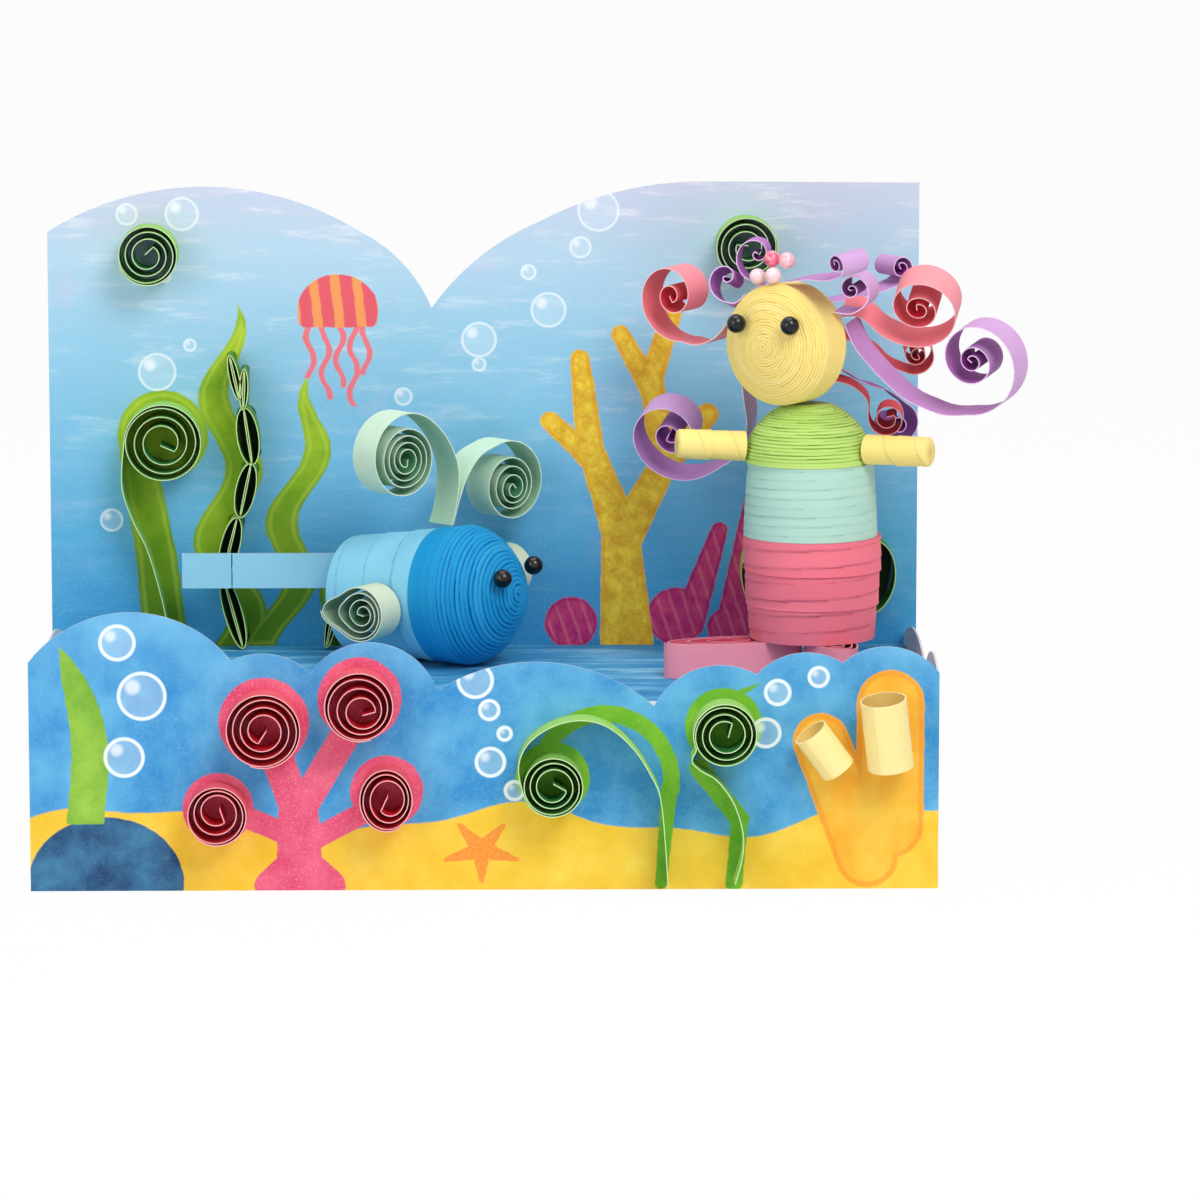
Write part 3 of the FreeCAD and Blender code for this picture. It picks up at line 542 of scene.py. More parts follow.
def strip_arrays(place, line, reach, hand=1, core_from=0.0, thick=PAPER, closed=False):
    """A strip on edge: line(i) plus and less half the thickness times the unit vector square
    to it, at height 0 and at the reach. Four bands of faces join these corner lines. The core
    value rises from 0 to 1 along the strip, cut marks its edges and hollow its inner side."""
    line = np.asarray(line, float)
    left = sideways(line, closed) * thick / 2
    n = len(line)
    low, high = min(0.0, reach), max(0.0, reach)
    corners = []
    for side, level in ((left, low), (left, high), (-left, high), (-left, low)):
        corners.append(np.column_stack([line + side, np.full(n, level)]))
    spots = carried(place, np.stack(corners, 1).reshape(-1, 3))
    here = np.arange(n if closed else n - 1)
    after = (here + 1) % n
    bands = []
    for c in range(4):
        d = (c + 1) % 4
        bands.append(np.stack([here * 4 + c, here * 4 + d, after * 4 + d, after * 4 + c], 1))
    faces = np.concatenate(bands).tolist()
    if not closed:
        end = (n - 1) * 4
        faces += [[3, 2, 1, 0], [end, end + 1, end + 2, end + 3]]
    m = len(here)
    along = np.linspace(0.0, 1.0, n)
    core = np.clip((along - core_from) / (1.0 - core_from), 0.0, 1.0)
    cut = np.concatenate([np.repeat([0.0, 1.0, 0.0, 1.0], m * 4), np.ones(0 if closed else 8)])
    concave = [1.0, 0.0, 0.0, 0.0] if hand > 0 else [0.0, 0.0, 1.0, 0.0]
    hollow = np.concatenate([np.repeat(concave, m * 4), np.zeros(0 if closed else 8)])
    return spots, faces, dict(core=("POINT", np.repeat(core, 4)), cut=("CORNER", cut),
                              hollow=("CORNER", hollow))


def smooth(points, steps=10):
    """A Catmull-Rom curve through the given points."""
    p = np.array([points[0]] + list(points) + [points[-1]], float)
    t = np.linspace(0, 1, steps, endpoint=False)[:, None]
    parts = []
    for a, b, c, d in zip(p, p[1:], p[2:], p[3:]):
        parts.append(0.5 * (2 * b + (c - a) * t + (2 * a - 5 * b + 4 * c - d) * t ** 2
                            + (3 * b - a - 3 * c + d) * t ** 3))
    return np.concatenate(parts + [p[-1:]])


def closed_coil(radius, core, turns, flattest=1.0):
    """Radius of a coil whose outer end is glued down. It falls evenly over the first turn by
    the paper's thickness, and over the other turns from there to the core."""
    glued = radius - (PAPER + 0.15) / flattest
    return lambda q: np.where(q < 1, radius - (radius - glued) * q,
                              glued - (q - 1) / (turns - 1) * (glued - core))


def open_curl(radius, core, turns):
    """Radius of a loose curl: radius times (core / radius) to the power q / turns."""
    return lambda q: radius * (core / radius) ** (q / turns)


def big_turn_then_coil(radius, core, turns, held, held_turns):
    """Radius of a wide first turn that settles on a coil."""
    return lambda q: np.where(
        q < held_turns, held + (radius - held) * np.clip(1 - q / held_turns, 0, 1) ** 1.5,
        held - (q - held_turns) / (turns - held_turns) * (held - core))


def spiral(reach_at, turns, start, hand=1, squeeze=(1.0, 1.0), tip=0.0, lean=(0.0, 0.0)):
    """Points r(q) (cos a, sin a) for each turn count q, at an angle a = start + 2 pi q. The tip
    adds a pinch of tip * exp(-(angle off start / 0.45)^2) that fades inwards, and the lean leads
    the centre off towards the core. It ends in a short bend."""
    q = np.linspace(0, turns, round(turns * TURN_STEPS) + 1)
    s = np.maximum(0.0, (q - 1) / (turns - 1))
    angle = math.radians(start) + hand * 2 * math.pi * q
    off = (angle - math.radians(start) + math.pi) % (2 * math.pi) - math.pi
    reach = reach_at(q)
    wide = reach * (1 + tip * (1 - s) ** 2 * np.exp(-(off / 0.45) ** 2))
    line = np.stack([wide * np.cos(angle) * squeeze[0] + lean[0] * s,
                     wide * np.sin(angle) * squeeze[1] + lean[1] * s], 1)
    hook, last = 0.25 * reach[-1], angle[-1] + hand * math.radians(100)
    bend = [hook * math.cos(last) * squeeze[0] + lean[0],
            hook * math.sin(last) * squeeze[1] + lean[1]]
    return np.vstack([line, bend])


def roll(name, place, reach_at, turns, start, look, slot, centre=(0.0, 0.0), stem=(), away=False,
         **shape):
    """A coil or scroll of one strip on edge, with its stem if it has one."""
    line = spiral(reach_at, turns, start, **shape) + np.array(centre)
    lead = 0.0
    if len(stem):
        joined = smooth(list(stem) + [line[0], line[3]])[:-10]
        lead = len(joined) / (len(joined) + len(line))
        line = np.vstack([joined, line[1:]])
    spots, faces, values = strip_arrays(place, line, -STRIP if away else STRIP,
                                        shape.get("hand", 1), core_from=lead)
    make_piece(name + "_strip", spots, faces, look, [name], values)


def coil(name, place, radius, core, turns, start, look, slot, squeeze=(1.0, 1.0), **shape):
    """A closed coil, pressed oval by the squeeze."""
    roll(name, place, closed_coil(radius, core, turns, min(squeeze)), turns, start, look, slot,
         squeeze=squeeze, **shape)


def ring_faces(rows, columns):
    """Faces around a stack of rings, closed by fans to the two points after the last ring."""
    i, j = np.meshgrid(np.arange(rows - 1), np.arange(columns), indexing="ij")
    after = (j + 1) % columns
    faces = np.stack([i * columns + j, i * columns + after, (i + 1) * columns + after,
                      (i + 1) * columns + j], 2).reshape(-1, 4).tolist()
    foot, head = rows * columns, rows * columns + 1
    first, last = np.arange(columns), (rows - 1) * columns + np.arange(columns)
    faces += np.stack([np.full(columns, foot), np.roll(first, -1), first], 1).tolist()
    faces += np.stack([np.full(columns, head), last, np.roll(last, -1)], 1).tolist()
    return faces


def wound(name, place, profile, look, pitch=1.0, lip=0.15, ridges_from=0.0, ripple=0.0,
          columns=112, step=0.3, bands=False):
    """A profile of radius and height turned about the local Z. Each turn of the strip stands
    proud by the lip: the radius adds a sawtooth of path length over pitch minus angle over a
    full turn, so that the edge climbs as a spiral. Bands are wide turns with a thin seam."""
    profile = np.array(profile, float)
    runs = np.hypot(*np.diff(profile, axis=0).T)
    path = np.concatenate([[0], np.cumsum(runs)])
    fine = np.unique(np.concatenate([np.arange(0, path[-1], step), path]))
    radius = np.interp(fine, path, profile[:, 0])
    height = np.interp(fine, path, profile[:, 1])
    slope = np.gradient(np.stack([radius, height], 1), axis=0)
    slope /= np.linalg.norm(slope, axis=1, keepdims=True)
    angle = np.arange(columns) * 2 * math.pi / columns
    count = (fine[:, None] - ridges_from) / pitch - angle[None, :] / (2 * math.pi)
    number = np.floor(count)
    tooth = count - number
    if bands:
        depth, sunk = np.clip(1 - tooth * 14, 0, 1), tooth
    else:
        depth = sunk = np.clip((tooth - 0.55) / 0.45, 0, 1)
    uneven = 1 + 0.5 * np.sin(number * 2.3) + ripple * np.sin(angle[None, :] * 3 + number * 1.7)
    live = (fine >= ridges_from)[:, None] & (radius > 1.2)[:, None]
    push = np.where(live, -lip * sunk * uneven, 0.0)
    ring = radius[:, None] + push * slope[:, 1:2]
    level = height[:, None] - push * slope[:, :1]
    spots = np.stack([ring * np.cos(angle), ring * np.sin(angle), level], 2).reshape(-1, 3)
    spots = np.vstack([spots, [0, 0, height[0]], [0, 0, height[-1]]])
    # This value carries painted shade in the grooves, a dark line at band seams, and 0.6 and 0.9 of
    # it at the two poles.
    groove = np.concatenate([np.where(live, depth, 0.0).ravel(), [0.6, 0.9]])
    turn = np.concatenate([number.ravel(), [0.0, 0.0]])
    values = dict(groove=("POINT", groove), turn=("POINT", turn))
    make_piece(name + "_wound", carried(place, spots), ring_faces(len(fine), columns), look,
               [name], values, flat=50.0)


def bead(name, spot, radius, look, rows=20, columns=32):
    """A ball: radius times (cos lat cos lon, cos lat sin lon, sin lat)."""
    lat = np.linspace(-math.pi / 2, math.pi / 2, rows + 1)[1:-1]
    lon = np.arange(columns) * 2 * math.pi / columns
    ring = np.stack([np.cos(lat)[:, None] * np.cos(lon), np.cos(lat)[:, None] * np.sin(lon),
                     np.repeat(np.sin(lat)[:, None], columns, 1)], 2).reshape(-1, 3)
    spots = np.vstack([ring, [0, 0, -1], [0, 0, 1]]) * radius + np.array(spot)
    make_piece(name + "_ball", spots, ring_faces(rows - 1, columns), look, [name], flat=80.0)


def lens_loop(half_length, half_width, tilt, centre, steps=18):
    """A pointed loop: half width times sin(pi t) against half length times cos(pi t) from tip
    to tip, then its mirror, both turned by the tilt."""
    t = np.arange(2 * steps) / steps
    side = np.where(t < 1, 1.0, -1.0)
    x = side * (half_width - PAPER / 2) * np.abs(np.sin(math.pi * t))
    y = (half_length - PAPER) * np.cos(math.pi * t)
    a = math.radians(tilt)
    return np.stack([centre[0] + x * math.cos(a) - y * math.sin(a),
                     centre[1] + x * math.sin(a) + y * math.cos(a)], 1)[::-1]


def leaf_loops(long, wide, tilt, centre, across):
    """A pointed loop and the nearly flat one along its middle."""
    return [lens_loop(long, wide, tilt, centre), lens_loop(long - 0.6, across, tilt, centre)]


def joined_loops(name, place, loops, look, thick=PAPER, core=1.0):
    """Several closed strips as one piece. The core value scales how deep their painted shade gets."""
    spots, faces, values, count = [], [], {}, 0
    for loop in loops:
        s, f, v = strip_arrays(place, loop, STRIP, thick=thick, closed=True)
        v["core"] = ("POINT", v["core"][1] * core)
        faces += [[i + count for i in face] for face in f]
        spots.append(s)
        count += len(s)
        for word, (domain, numbers) in v.items():
            values.setdefault(word, (domain, []))[1].append(numbers)
    values = {word: (domain, np.concatenate(parts)) for word, (domain, parts) in values.items()}
    make_piece(name + "_loops", np.vstack(spots), faces, look, [name], values)


# Finishes

# In each strip paper the second colour is painted shade, used towards the core and on the hollow
# side.
GREEN = strip_paper("dark_green_strip", rgb(158, 208, 102), rgb(52, 132, 66), rgb(196, 230, 170))
LEAF = strip_paper("leaf_green_strip", rgb(146, 198, 62), rgb(44, 116, 44), rgb(198, 228, 150))
RED = strip_paper("coral_red_strip", rgb(236, 96, 108), rgb(206, 30, 48), rgb(252, 176, 178))
MINT = strip_paper("mint_strip", rgb(204, 232, 208), rgb(84, 152, 100), rgb(222, 242, 222))
SKY = strip_paper("pale_blue_strip", rgb(150, 210, 230), rgb(96, 176, 214), rgb(196, 230, 242))
CREAM = strip_paper("cream_strip", rgb(226, 236, 206), rgb(96, 146, 110), rgb(240, 246, 226))
YELLOW = strip_paper("yellow_strip", rgb(252, 232, 158), rgb(224, 186, 96), rgb(254, 242, 196))
ROSE = strip_paper("rose_strip", rgb(248, 150, 168), rgb(206, 60, 96), rgb(252, 190, 200))
PINK = strip_paper("pink_strip", rgb(248, 164, 172), rgb(222, 34, 58), rgb(254, 206, 208))
CRIMSON = strip_paper("red_strip", rgb(240, 106, 114), rgb(212, 28, 48), rgb(252, 172, 172))
LILAC = strip_paper("lilac_strip", rgb(214, 172, 220), rgb(146, 44, 150), rgb(238, 206, 240))
PURPLE = strip_paper("purple_strip", rgb(200, 136, 210), rgb(138, 34, 146), rgb(236, 196, 240))

SKIRT = wound_paper("skirt_paper", rgb(240, 116, 134), rgb(202, 70, 92), rgb(248, 150, 160), 0.5)
WAIST = wound_paper("waist_paper", rgb(172, 212, 198), rgb(124, 174, 160), rgb(198, 228, 212), 0.6)
CHEST = wound_paper("chest_paper", rgb(180, 216, 110), rgb(118, 164, 66), rgb(210, 234, 146))
SKIN = wound_paper("face_paper", rgb(248, 222, 128), rgb(204, 158, 70), rgb(254, 238, 168))
CAP = wound_paper("cap_paper", rgb(222, 70, 78), rgb(150, 30, 40), rgb(240, 120, 120))
OCEAN = wound_paper("whale_head_paper", rgb(14, 144, 204), rgb(4, 82, 146), rgb(64, 178, 222), 0.9)
PALE = wound_paper("whale_body_paper", rgb(134, 206, 234), rgb(88, 166, 208), rgb(168, 222, 242), 0.5)

BLACK = black_bead()
PEARL = bead_glass("pearl_bead", rgb(250, 204, 212))
HOT = bead_glass("hot_pink_bead", rgb(232, 70, 112))
CLEAR = bead_glass("crystal_bead", rgb(250, 168, 178), 0.08, 1.0)


# Card pieces keep their CAD shape

for node, look in (("wave_tray", front_card()), ("backdrop_panel", backdrop_card()),
                   ("deck_platform", deck_card())):
    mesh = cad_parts[node].data
    mesh.materials.clear()
    mesh.materials.append(look)


# Quills on the card

def on_front(x, z):
    """A place on the front wall's face."""
    return facing((x, -FILM, z))


def on_backdrop(x, z):
    """A place on the backdrop's face."""
    return facing((x, DEPTH - FILM, z))


def quills():
    """Coils, scrolls, seaweed, leaves and tubes that are glued to the two walls."""
    for name, x, z, radius, core, turns, start, shape in (
            ("coral_coil_1", -67.8, 51.7, 11.5, 4.0, 4.0, 250, {}),
            ("coral_coil_2", -38.3, 59.1, 10.7, 3.8, 3.8, 290, dict(hand=-1, lean=(1.2, -1.6))),
            ("coral_coil_3", -82.1, 25.3, 9.2, 4.2, 3.2, 230, dict(lean=(0.2, 1.6))),
            ("coral_coil_4", -30.1, 30.1, 9.0, 4.4, 3.2, 300,
             dict(hand=-1, squeeze=(0.92, 1.08), lean=(1.0, 0.2)))):
        coil(name, on_front(x, z), radius, core, turns, start, RED, "red_paper", **shape)
    coil("arch_scroll", on_front(21.0, 34.0), 9.3, 4.2, 3.4, 200, GREEN, "green_paper", hand=1,
         stem=[(35.3, -32.0), (34.6, -20.0), (33.0, -4.0), (30.0, 3.6), (24.6, 12.0),
               (17.0, 18.6), (8.9, 20.8), (0.0, 19.0), (-7.6, 13.6), (-10.6, 6.0)])
    coil("reed_scroll", on_front(73.8, 50.0), 9.8, 4.2, 3.4, 205, GREEN, "green_paper", hand=-1,
         stem=[(3.1, -46.4), (5.2, -38.6), (5.5, -30.8), (2.7, -21.4), (-2.4, -14.2),
               (-7.4, -11.0), (-10.2, -8.0)])
    coil("coil_backdrop_left", on_backdrop(-107.4, 186.7), 9.6, 3.4, 3.6, 200, GREEN,
         "green_paper")
    coil("coil_backdrop_right", on_backdrop(84.2, 188.9), 9.9, 3.4, 3.6, 20, GREEN,
         "green_paper", hand=-1)
    coil("fern_scroll", on_backdrop(-103.1, 126.4), 12.4, 4.6, 3.6, 180, GREEN, "green_paper",
         hand=-1, stem=[(1.0, 59.1 - 126.4), (0.4, -56.6), (-2.7, -43.2), (-5.9, -33.3),
                        (-10.4, -23.8), (-13.3, -13.6)])
    joined_loops("seaweed_chain", on_backdrop(SEAWEED_FOOT, DECK),
                 [loop for leaf in SEAWEED for loop in leaf_loops(*leaf, 0.45)], LEAF)
    for name, x, z, long, wide, tilt in LEAVES:
        joined_loops(name, on_backdrop(x, z), leaf_loops(long, wide, tilt, (0, 0), 0.5), LEAF)
    tube("sponge_tube_tall", (122.0, 61.0), 7.2, 22.0, 7, 9)
    tube("sponge_tube_short", (99.9, 50.5), 5.6, 15.0, 36, 8)


def tube(name, top, radius, length, side_lean, forward_lean):
    """A rolled tube: a shallow spiral of two turns, carried down its leaning axis."""
    a, b = math.radians(-side_lean), math.radians(forward_lean)
    stand = radius + length * math.sin(b) + 3 * FILM
    turn_y = np.array([[math.cos(a), 0, -math.sin(a)], [0, 1, 0], [math.sin(a), 0, math.cos(a)]])
    turn_x = np.array([[1, 0, 0], [0, math.cos(b), math.sin(b)], [0, -math.sin(b), math.cos(b)]])
    place = (np.array([top[0], -stand, top[1]]), turn_x @ turn_y)
    q = np.linspace(0, 1.96, 150)
    reach = radius - 0.14 - 0.15 * q
    angle = q * 2 * math.pi + 4.2
    line = np.stack([reach * np.cos(angle), reach * np.sin(angle)], 1)
    spots, faces, values = strip_arrays(place, line, -length, 1, thick=0.26)
    # Only 0.4 of the painted shade towards the inner turn.
    values["core"] = ("POINT", values["core"][1] * 0.4)
    make_piece(name + "_roll", spots, faces, YELLOW, [name], values)


# Whale

WHALE_TURN = 58.0
WHALE_YAW = math.radians(WHALE_TURN)
WHALE_REAR = (-41.0, 92.3)
REAR, RING, WHALE_LENGTH, BAND, DOME = 19.0, 22.3, 33.2, 10.5, 17.9
WHALE_TILT = math.atan2(RING - REAR, WHALE_LENGTH + BAND)
TAIL_LENGTH, TAIL_SEAM, TAIL_HEIGHT = 53.0, -37.0, 80.6


def along_whale(station):
    """The point on the whale's axis so far from its rear."""
    flat = station * math.cos(WHALE_TILT)
    height = DECK + 3 * FILM + REAR / math.cos(WHALE_TILT)
    return (WHALE_REAR[0] + flat * math.sin(WHALE_YAW), WHALE_REAR[1] - flat * math.cos(WHALE_YAW),
            height + station * math.sin(WHALE_TILT))


def whale_radius(station):
    """The whale widens evenly from its rear to the ring behind its dome."""
    return REAR + station / (WHALE_LENGTH + BAND) * (RING - REAR)


def whale_place(station):
    """A place across the axis, whose Z runs to the whale's nose."""
    return facing(along_whale(station), -WHALE_TURN, -math.degrees(WHALE_TILT))


def on_whale(right, up, out, station):
    """A point right of the axis, above it and on towards the nose from a station."""
    return carried(whale_place(station), [[right, up, out]])[0]


def rounded(points):
    """A profile with its corners eased."""
    return smooth(points, steps=7)


def whale():
    """Two bands of body, the wound dome, two bead eyes, the spouts, the fins and the tail."""
    seam = whale_radius(WHALE_LENGTH)
    wound("whale_body", whale_place(0), [
        (REAR - 1.2, 0), (REAR, 0.6), (whale_radius(STRIP), STRIP),
        (whale_radius(2 * STRIP) - 0.1, 2 * STRIP), (seam - 0.1, WHALE_LENGTH)],
        PALE, pitch=STRIP, lip=0.3, bands=True, step=0.6)
    dome = rounded([(wide * RING, BAND + tall * DOME) for wide, tall in (
        (1, 0), (0.93, 0.24), (0.78, 0.50), (0.56, 0.74), (0.30, 0.92), (0.06, 1))])
    wound("whale_head", whale_place(WHALE_LENGTH + FILM), [(seam, 0), *dome.tolist()], OCEAN,
          pitch=1.5, lip=0.42, ridges_from=BAND, ripple=0.35,
          columns=ROUND_COLUMNS, step=0.22)
    for name, right, up, out in (("whale_eye_near", -9.6, 6.4, 1.01),
                                 ("whale_eye_far", 11.2, 8.0, 0.94)):
        bead(name, on_whale(right, up, BAND + out * DOME, WHALE_LENGTH), EYE_RADIUS, BLACK)
    foot = on_whale(1.5, 0, 0, WHALE_LENGTH + 2)
    top = along_whale(WHALE_LENGTH + 2)[2] + whale_radius(WHALE_LENGTH + 2) + 0.35
    spout = facing((foot[0], foot[1], top), -40)
    roll("whale_spout_left", spout, big_turn_then_coil(15.4, 2.2, 4.6, 10.2, 0.9), 4.6, 58, MINT,
         "green_paper", centre=(-18.2, 22.6), away=True,
         stem=[(0, 0), (1.9, 5.4), (3.2, 13.0), (2.8, 19.4), (0.2, 25.4), (-3.9, 30.9)])
    roll("whale_spout_right", spout, big_turn_then_coil(14.6, 1.9, 4.0, 8.2, 1.3), 4.0, 118, MINT,
         "green_paper", hand=-1, centre=(25.2, 11.0), away=True, lean=(1.4, -1.6),
         stem=[(0.7, 0), (3.7, 8.6), (6.9, 15.4), (12.0, 21.2)])
    side = 90 - WHALE_TURN
    for name, station, up, yaw, hand in (("whale_fin_near", 22.0, -2.0, side, 1),
                                         ("whale_fin_far", 37.0, 4.0, side + 180, -1)):
        spot = on_whale(-hand * (whale_radius(station + 10) + 0.4), up, 0, station)
        coil(name, facing(spot, yaw), 8.8, 2.0, 4.0, 180 if hand > 0 else 0, CREAM, "cream_paper",
             hand=hand, tip=0.62, lean=(1.6 * hand, 0))
    loops = []
    for left, right, flat in ((-TAIL_LENGTH, TAIL_SEAM - 0.2, 1.5), (TAIL_SEAM + 0.1, 0.0, 1.35)):
        t = np.linspace(left + PAPER, right - PAPER, 24)
        upper = np.stack([t, np.full(24, flat - PAPER)], 1)
        loops.append(np.vstack([upper[::-1], upper * [1, -1]]))
    tail_root = (WHALE_REAR[0] - 2.9, WHALE_REAR[1] - 0.6, TAIL_HEIGHT)
    joined_loops("whale_tail", upright(tail_root), loops, SKY, thick=2 * PAPER,
                 core=0.0)


# Doll

DOLL = (103.4, 56.0)
SKIRT_FOOT = DECK + 2 * FILM + STRIP
WAIST_FOOT = SKIRT_FOOT + 32.4 + FILM
CHEST_FOOT = WAIST_FOOT + 23.2 + FILM
NECK_TOP = CHEST_FOOT + 18.3
CHEST_RADIUS = 19.9
HEAD, HEAD_THICK, FACE_DOME = 19.1, 11.0, 8.0
HEAD_TURN = 37.0
HEAD_PLACE = facing((91.8, 49.0, NECK_TOP + HEAD + 2 * FILM), HEAD_TURN)


def on_head(right, up, out):
    """A point right of the face's middle, above it and in front of its rim."""
    return carried(HEAD_PLACE, [[right, up, out]])[0]


def doll():
    """Skirt, waist, bodice, arms, face, cap, eyes and the two tail fins under the skirt."""
    x, y = DOLL
    wide = CHEST_RADIUS
    wound("doll_skirt", upright((x, y, SKIRT_FOOT)), [
        (19.8, 0), (20.7, 10.8), (21.1, 10.8), (21.4, 21.6), (21.9, 21.6), (21.8, 32.4)],
        SKIRT, pitch=5.4, lip=0.35, bands=True, step=0.5, ripple=0.5)
    wound("doll_waist", upright((x - 0.6, y, WAIST_FOOT)), [
        (wide + 1.3, 0), (wide + 1.0, 8.4), (wide + 0.5, 16.2), (wide, 23.2)],
        WAIST, pitch=2.9, lip=0.2, bands=True, step=0.4, ripple=0.4)
    chest = rounded([(wide, 0), (0.975 * wide, 4.8), (0.88 * wide, 9.5), (0.71 * wide, 13.7),
                     (0.5 * wide, 16.8), (6.8, 18.3)])
    wound("doll_bodice", upright((x - 1.4, y, CHEST_FOOT)), chest, CHEST,
          pitch=1.15, lip=0.4, ridges_from=1.0, ripple=0.6, columns=ROUND_COLUMNS, step=0.2)
    arm = [(4.8, 0), (4.6, 10.8), (4.85, 10.8), (4.65, 21.1), (4.1, 21.6)]
    for name, bearing, height, lift in (("doll_arm_left", 188.0, CHEST_FOOT + 5.2, 3.0),
                                        ("doll_arm_right", -28.0, CHEST_FOOT + 4.9, 1.0)):
        a, b = math.radians(bearing), math.radians(lift)
        root = (x - 1.4 + (wide + 0.5) * math.cos(a), y + (wide + 0.5) * math.sin(a), height)
        out = np.array([math.cos(a) * math.cos(b), math.sin(a) * math.cos(b), math.sin(b)])
        across = np.array([-math.sin(a), math.cos(a), 0.0])
        wound(name, (np.array(root), np.array([np.cross(across, out), across, out])), arm,
              SKIN, pitch=STRIP, lip=0.12, bands=True, columns=64, step=0.5)
    face = rounded([(HEAD, 0), (0.92 * HEAD, 0.3 * FACE_DOME), (0.7 * HEAD, 0.62 * FACE_DOME),
                    (0.4 * HEAD, 0.87 * FACE_DOME), (0.05 * HEAD, FACE_DOME)])
    wound("doll_face", HEAD_PLACE, [(HEAD - 0.5, -HEAD_THICK), (HEAD, 1 - HEAD_THICK),
                                    *face.tolist()],
          SKIN, pitch=0.95, lip=0.22, ridges_from=11.5, ripple=0.4,
          columns=ROUND_COLUMNS, step=0.18)
    place = (on_head(0, 0, -HEAD_THICK - FILM), HEAD_PLACE[1])
    back = rounded([(0.08 * HEAD, -8.5), (0.5 * HEAD, -7.2), (0.8 * HEAD, -4.25), (0.97 * HEAD, 0)])
    wound("doll_cap", place, back, CAP, pitch=1.1, lip=0.25, ripple=0.4)
    for name, right, up in (("doll_eye_left", -9.0, 6.9), ("doll_eye_right", 10.6, 7.4)):
        rise = FACE_DOME * (1 - (math.hypot(right, up) / HEAD) ** 2) + 4.3
        bead(name, on_head(right, up, rise), EYE_RADIUS, BLACK)
    coil("tail_fin_left", upright((78.5, 49.0, DECK + FILM), 12), 22.5, 5.0, 3.5, 180, ROSE,
         "pink_paper", squeeze=(1.0, 0.36))
    coil("tail_fin_right", upright((109.0, 44.5, DECK + FILM), 105), 16.5, 4.0, 3.5, 0, ROSE,
         "pink_paper", squeeze=(1.0, 0.44))


def curl(name, root, yaw, pitch, centre, radius, core, turns, start, hand, look, slot, stem):
    """A loose curl whose stem leaves a root point on the head."""
    roll(name, facing(on_head(*root), yaw, pitch), open_curl(radius, core, turns), turns, start,
         look, slot, centre=centre, hand=hand, stem=[(0.0, 0.0), *stem], away=True)


def hair():
    """Twelve curls around the head and four beads on top of it."""
    pink, lilac = (PINK, "pink_paper"), (LILAC, "lilac_paper")
    purple, red = (PURPLE, "lilac_paper"), (CRIMSON, "red_paper")
    curl("curl_pink_left", (-18.6, 6.8, -0.4), 37, 3, (-22.4, 5.9), 14.7, 2.0, 2.0, -77, -1,
         *pink, [(-3.3, -4.1), (-6.9, -6.9), (-12.9, -9.1)])
    curl("curl_lilac_left", (-18.7, -8.6, -3.0), 20, 20, (-24.1, -25.6), 16.8, 2.0, 2.2, -60, -1,
         *lilac, [(1.8, -1.6), (2.1, -11.5), (2.1, -21.4), (-0.8, -30.1), (-7.4, -35.4)])
    curl("curl_purple_top", (-9.8, 17.2, -6.0), 10, 0, (-1.8, 10.1), 8.1, 1.0, 1.3, -123, -1,
         *purple, [(-2.1, 0.9)])
    curl("curl_purple_side", (-12.5, 15.2, -0.6), 20, -15, (-6.9, 5.0), 8.0, 0.9, 1.3, -83, -1,
         *purple, [(-2.9, -2.9)])
    curl("curl_lilac_top", (2.5, 19.7, -0.6), 50, 8, (23.9, 7.4), 3.9, 1.4, 1.5, -64, 1,
         *lilac, [(10.5, 1.6), (18.8, 1.9)])
    curl("curl_lilac_brow", (17.1, 10.8, -6.0), 20, 5, (5.9, 7.2), 6.4, 1.0, 1.6, -47, 1,
         *lilac, [(5.6, -0.4)])
    curl("curl_lilac_crown", (1.7, 11.5, -17.9), -30, 0, (33.0, 9.4), 4.8, 1.6, 1.6, -81, 1,
         *lilac, [(14.0, 0.4), (24.0, 2.0)])
    curl("curl_pink_ring", (13.0, 8.3, -16.0), 15, 28, (25.1, 3.2), 14.7, 2.0, 2.6, -114, 1,
         *pink, [(6.4, -0.3), (12.5, -6.8)])
    curl("curl_big_loop", (18.6, 6.5, -10.0), 27, 10, (42.4, -9.7), 17.7, 1.6, 2.7, -100, 1,
         *lilac, [(3.3, -7.6), (10.9, -16.4), (18.5, -22.8), (24.9, -25.6), (31.7, -27.5)])
    curl("curl_red_middle", (1.0, 0.7, -20.3), 0, 10, (31.9, -6.1), 6.7, 1.4, 2.2, -122, 1,
         *red, [(10.0, -1.0), (18.6, -4.8), (23.4, -9.4)])
    curl("curl_red_low", (6.9, -12.3, -16.7), 5, 5, (19.6, -12.3), 6.1, 2.4, 1.6, 175, 1,
         *red, [(7.5, -1.4), (13.0, -6.0)])
    curl("curl_purple_low", (0.7, -8.0, -18.8), -20, 5, (30.8, -21.4), 7.7, 1.5, 1.6, 73, -1,
         *purple, [(10.0, -2.0), (19.1, -7.1), (26.8, -9.7)])
    for number, (right, up, out, look) in enumerate([
            (-8.0, 20.9, -0.6, PEARL), (-1.0, 21.8, 1.0, PEARL), (-2.8, 26.7, -1.0, HOT),
            (2.8, 26.5, -1.0, CLEAR)], start=1):
        bead("hair_bead_%d" % number, on_head(right, up, out), HAIR_BEAD_RADIUS, look)


quills()
whale()
doll()
hair()


# Floor, light and camera

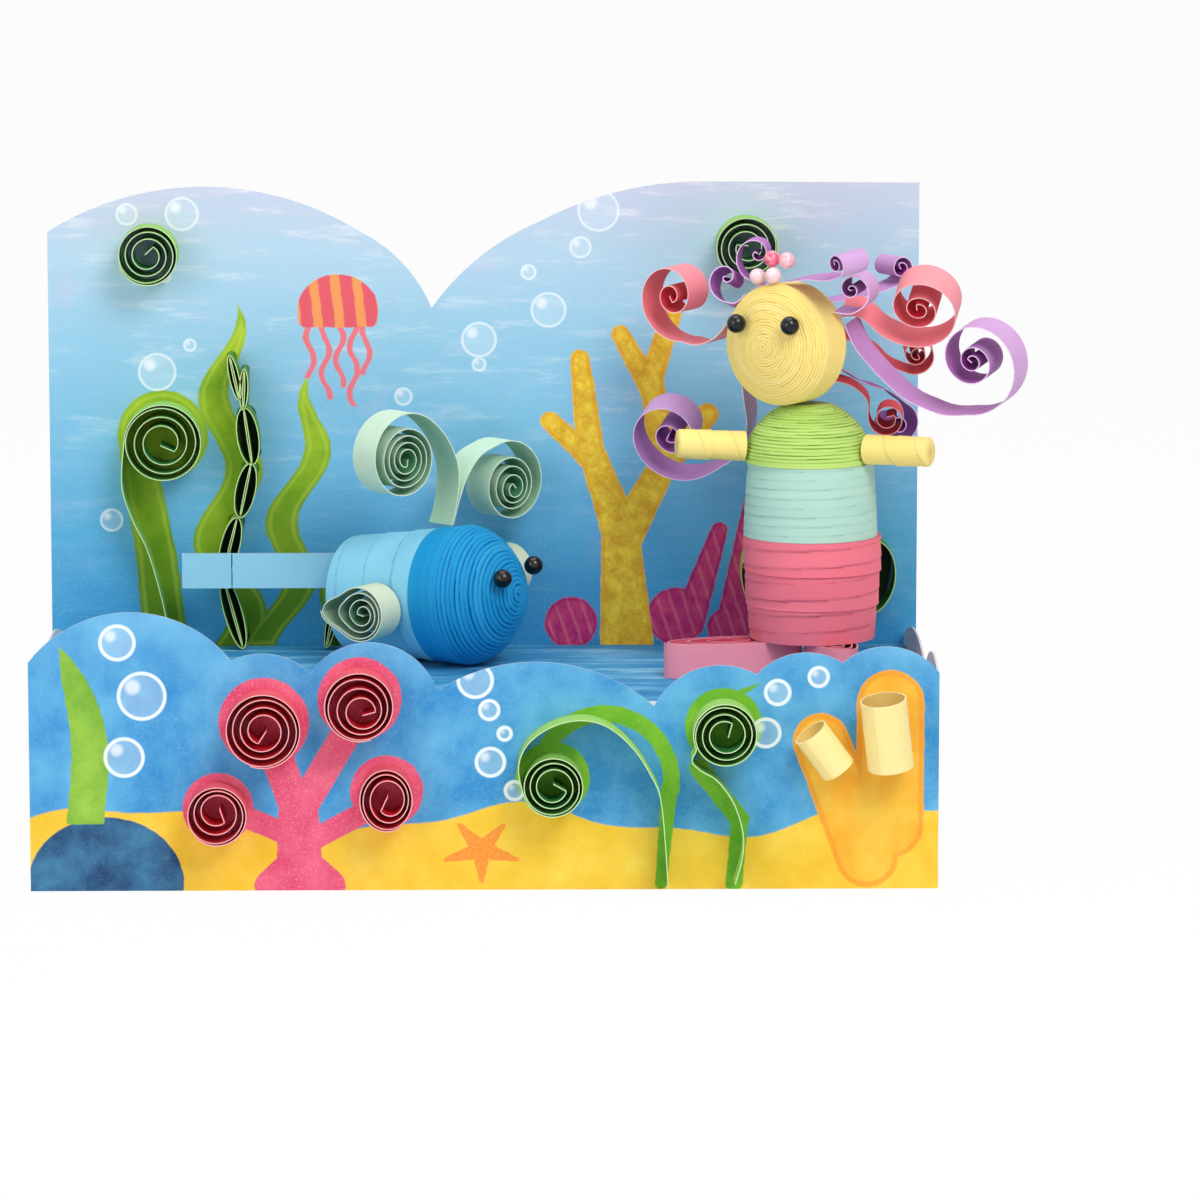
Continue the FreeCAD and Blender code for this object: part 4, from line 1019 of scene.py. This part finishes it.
def pale_floor():
    """A floor that the camera sees almost white and that still catches shadows."""
    p = Paint("pale_floor")
    grain = p.noise(0.02, 2.0)
    p.finish(p.blend((grain - 0.5).held() * 0.1, rgb(246, 246, 246), rgb(240, 241, 243)), 0.9)
    seen = p.node("ShaderNodeLightPath", out="Is Camera Ray")
    glow = p.node("ShaderNodeEmission", None, (1.0, 1.0, 1.0), 1.0)
    mixed = p.node("ShaderNodeMixShader", None, seen * 0.95, Shade(p, p.shader.outputs[0]), glow)
    p.tree.links.new(mixed.socket, p.tree.nodes["Material Output"].inputs["Surface"])
    mesh = bpy.data.meshes.new("studio_floor")
    mesh.from_pydata([(-4, -3, 0), (4, -3, 0), (4, 5, 0), (-4, 5, 0)], [], [(0, 1, 2, 3)])
    mesh.materials.append(p.material)
    floor = bpy.data.objects.new("studio_floor", mesh)
    bpy.context.scene.collection.objects.link(floor)


def white_air():
    """A world that is white where it is seen and softer as light."""
    world = bpy.data.worlds.new("studio_air")
    world.use_nodes = True
    bpy.context.scene.world = world
    tree = world.node_tree
    path = tree.nodes.new("ShaderNodeLightPath")
    seen = path.outputs["Is Camera Ray"]
    for ray in ("Is Glossy Ray", "Is Transmission Ray"):
        either = tree.nodes.new("ShaderNodeMath")
        either.operation = "MAXIMUM"
        tree.links.new(seen, either.inputs[0])
        tree.links.new(path.outputs[ray], either.inputs[1])
        seen = either.outputs[0]
    level = tree.nodes.new("ShaderNodeMapRange")
    level.inputs["To Min"].default_value = 0.36
    tree.links.new(seen, level.inputs["Value"])
    sky = tree.nodes["Background"]
    sky.inputs["Color"].default_value = (1.0, 1.0, 1.0, 1.0)
    tree.links.new(level.outputs[0], sky.inputs["Strength"])


def lamps():
    """Three soft square lamps, each turned to its aim."""
    for word, spot, aim, wide, power in (
            ("key", (0.55, -0.9, 1.15), (0.0, 0.05, 0.08), 0.7, 12.5),
            ("fill", (-0.9, -0.9, 0.55), (0.0, 0.05, 0.08), 0.9, 5.0),
            ("top", (0.0, 0.1, 1.3), (0.0, 0.05, 0.05), 0.8, 4.6)):
        lamp = bpy.data.lights.new(word, "AREA")
        lamp.shape, lamp.size, lamp.energy = "SQUARE", wide, power
        holder = bpy.data.objects.new(word, lamp)
        holder.location = spot
        run, away, rise = (a - b for a, b in zip(aim, spot))
        holder.rotation_euler = (math.atan2(math.hypot(run, away), -rise), 0,
                                 math.atan2(-run, away))
        bpy.context.scene.collection.objects.link(holder)


def photo_camera():
    """The camera that the photo was taken with, solved from the front wall and backdrop."""
    scene = bpy.context.scene
    scene.view_settings.view_transform = "Standard"
    lens = bpy.data.cameras.new("photo_camera")
    lens.lens, lens.sensor_width, lens.sensor_fit = 191.73, 36.0, "HORIZONTAL"
    lens.clip_end = 50.0
    camera = bpy.data.objects.new("photo_camera", lens)
    camera.location = (0.003087, -1.936905, 0.389286)
    camera.rotation_euler = (math.radians(90 - 8.77), 0, math.radians(-0.96))
    scene.collection.objects.link(camera)
    scene.camera = camera


pale_floor()
white_air()
lamps()
photo_camera()
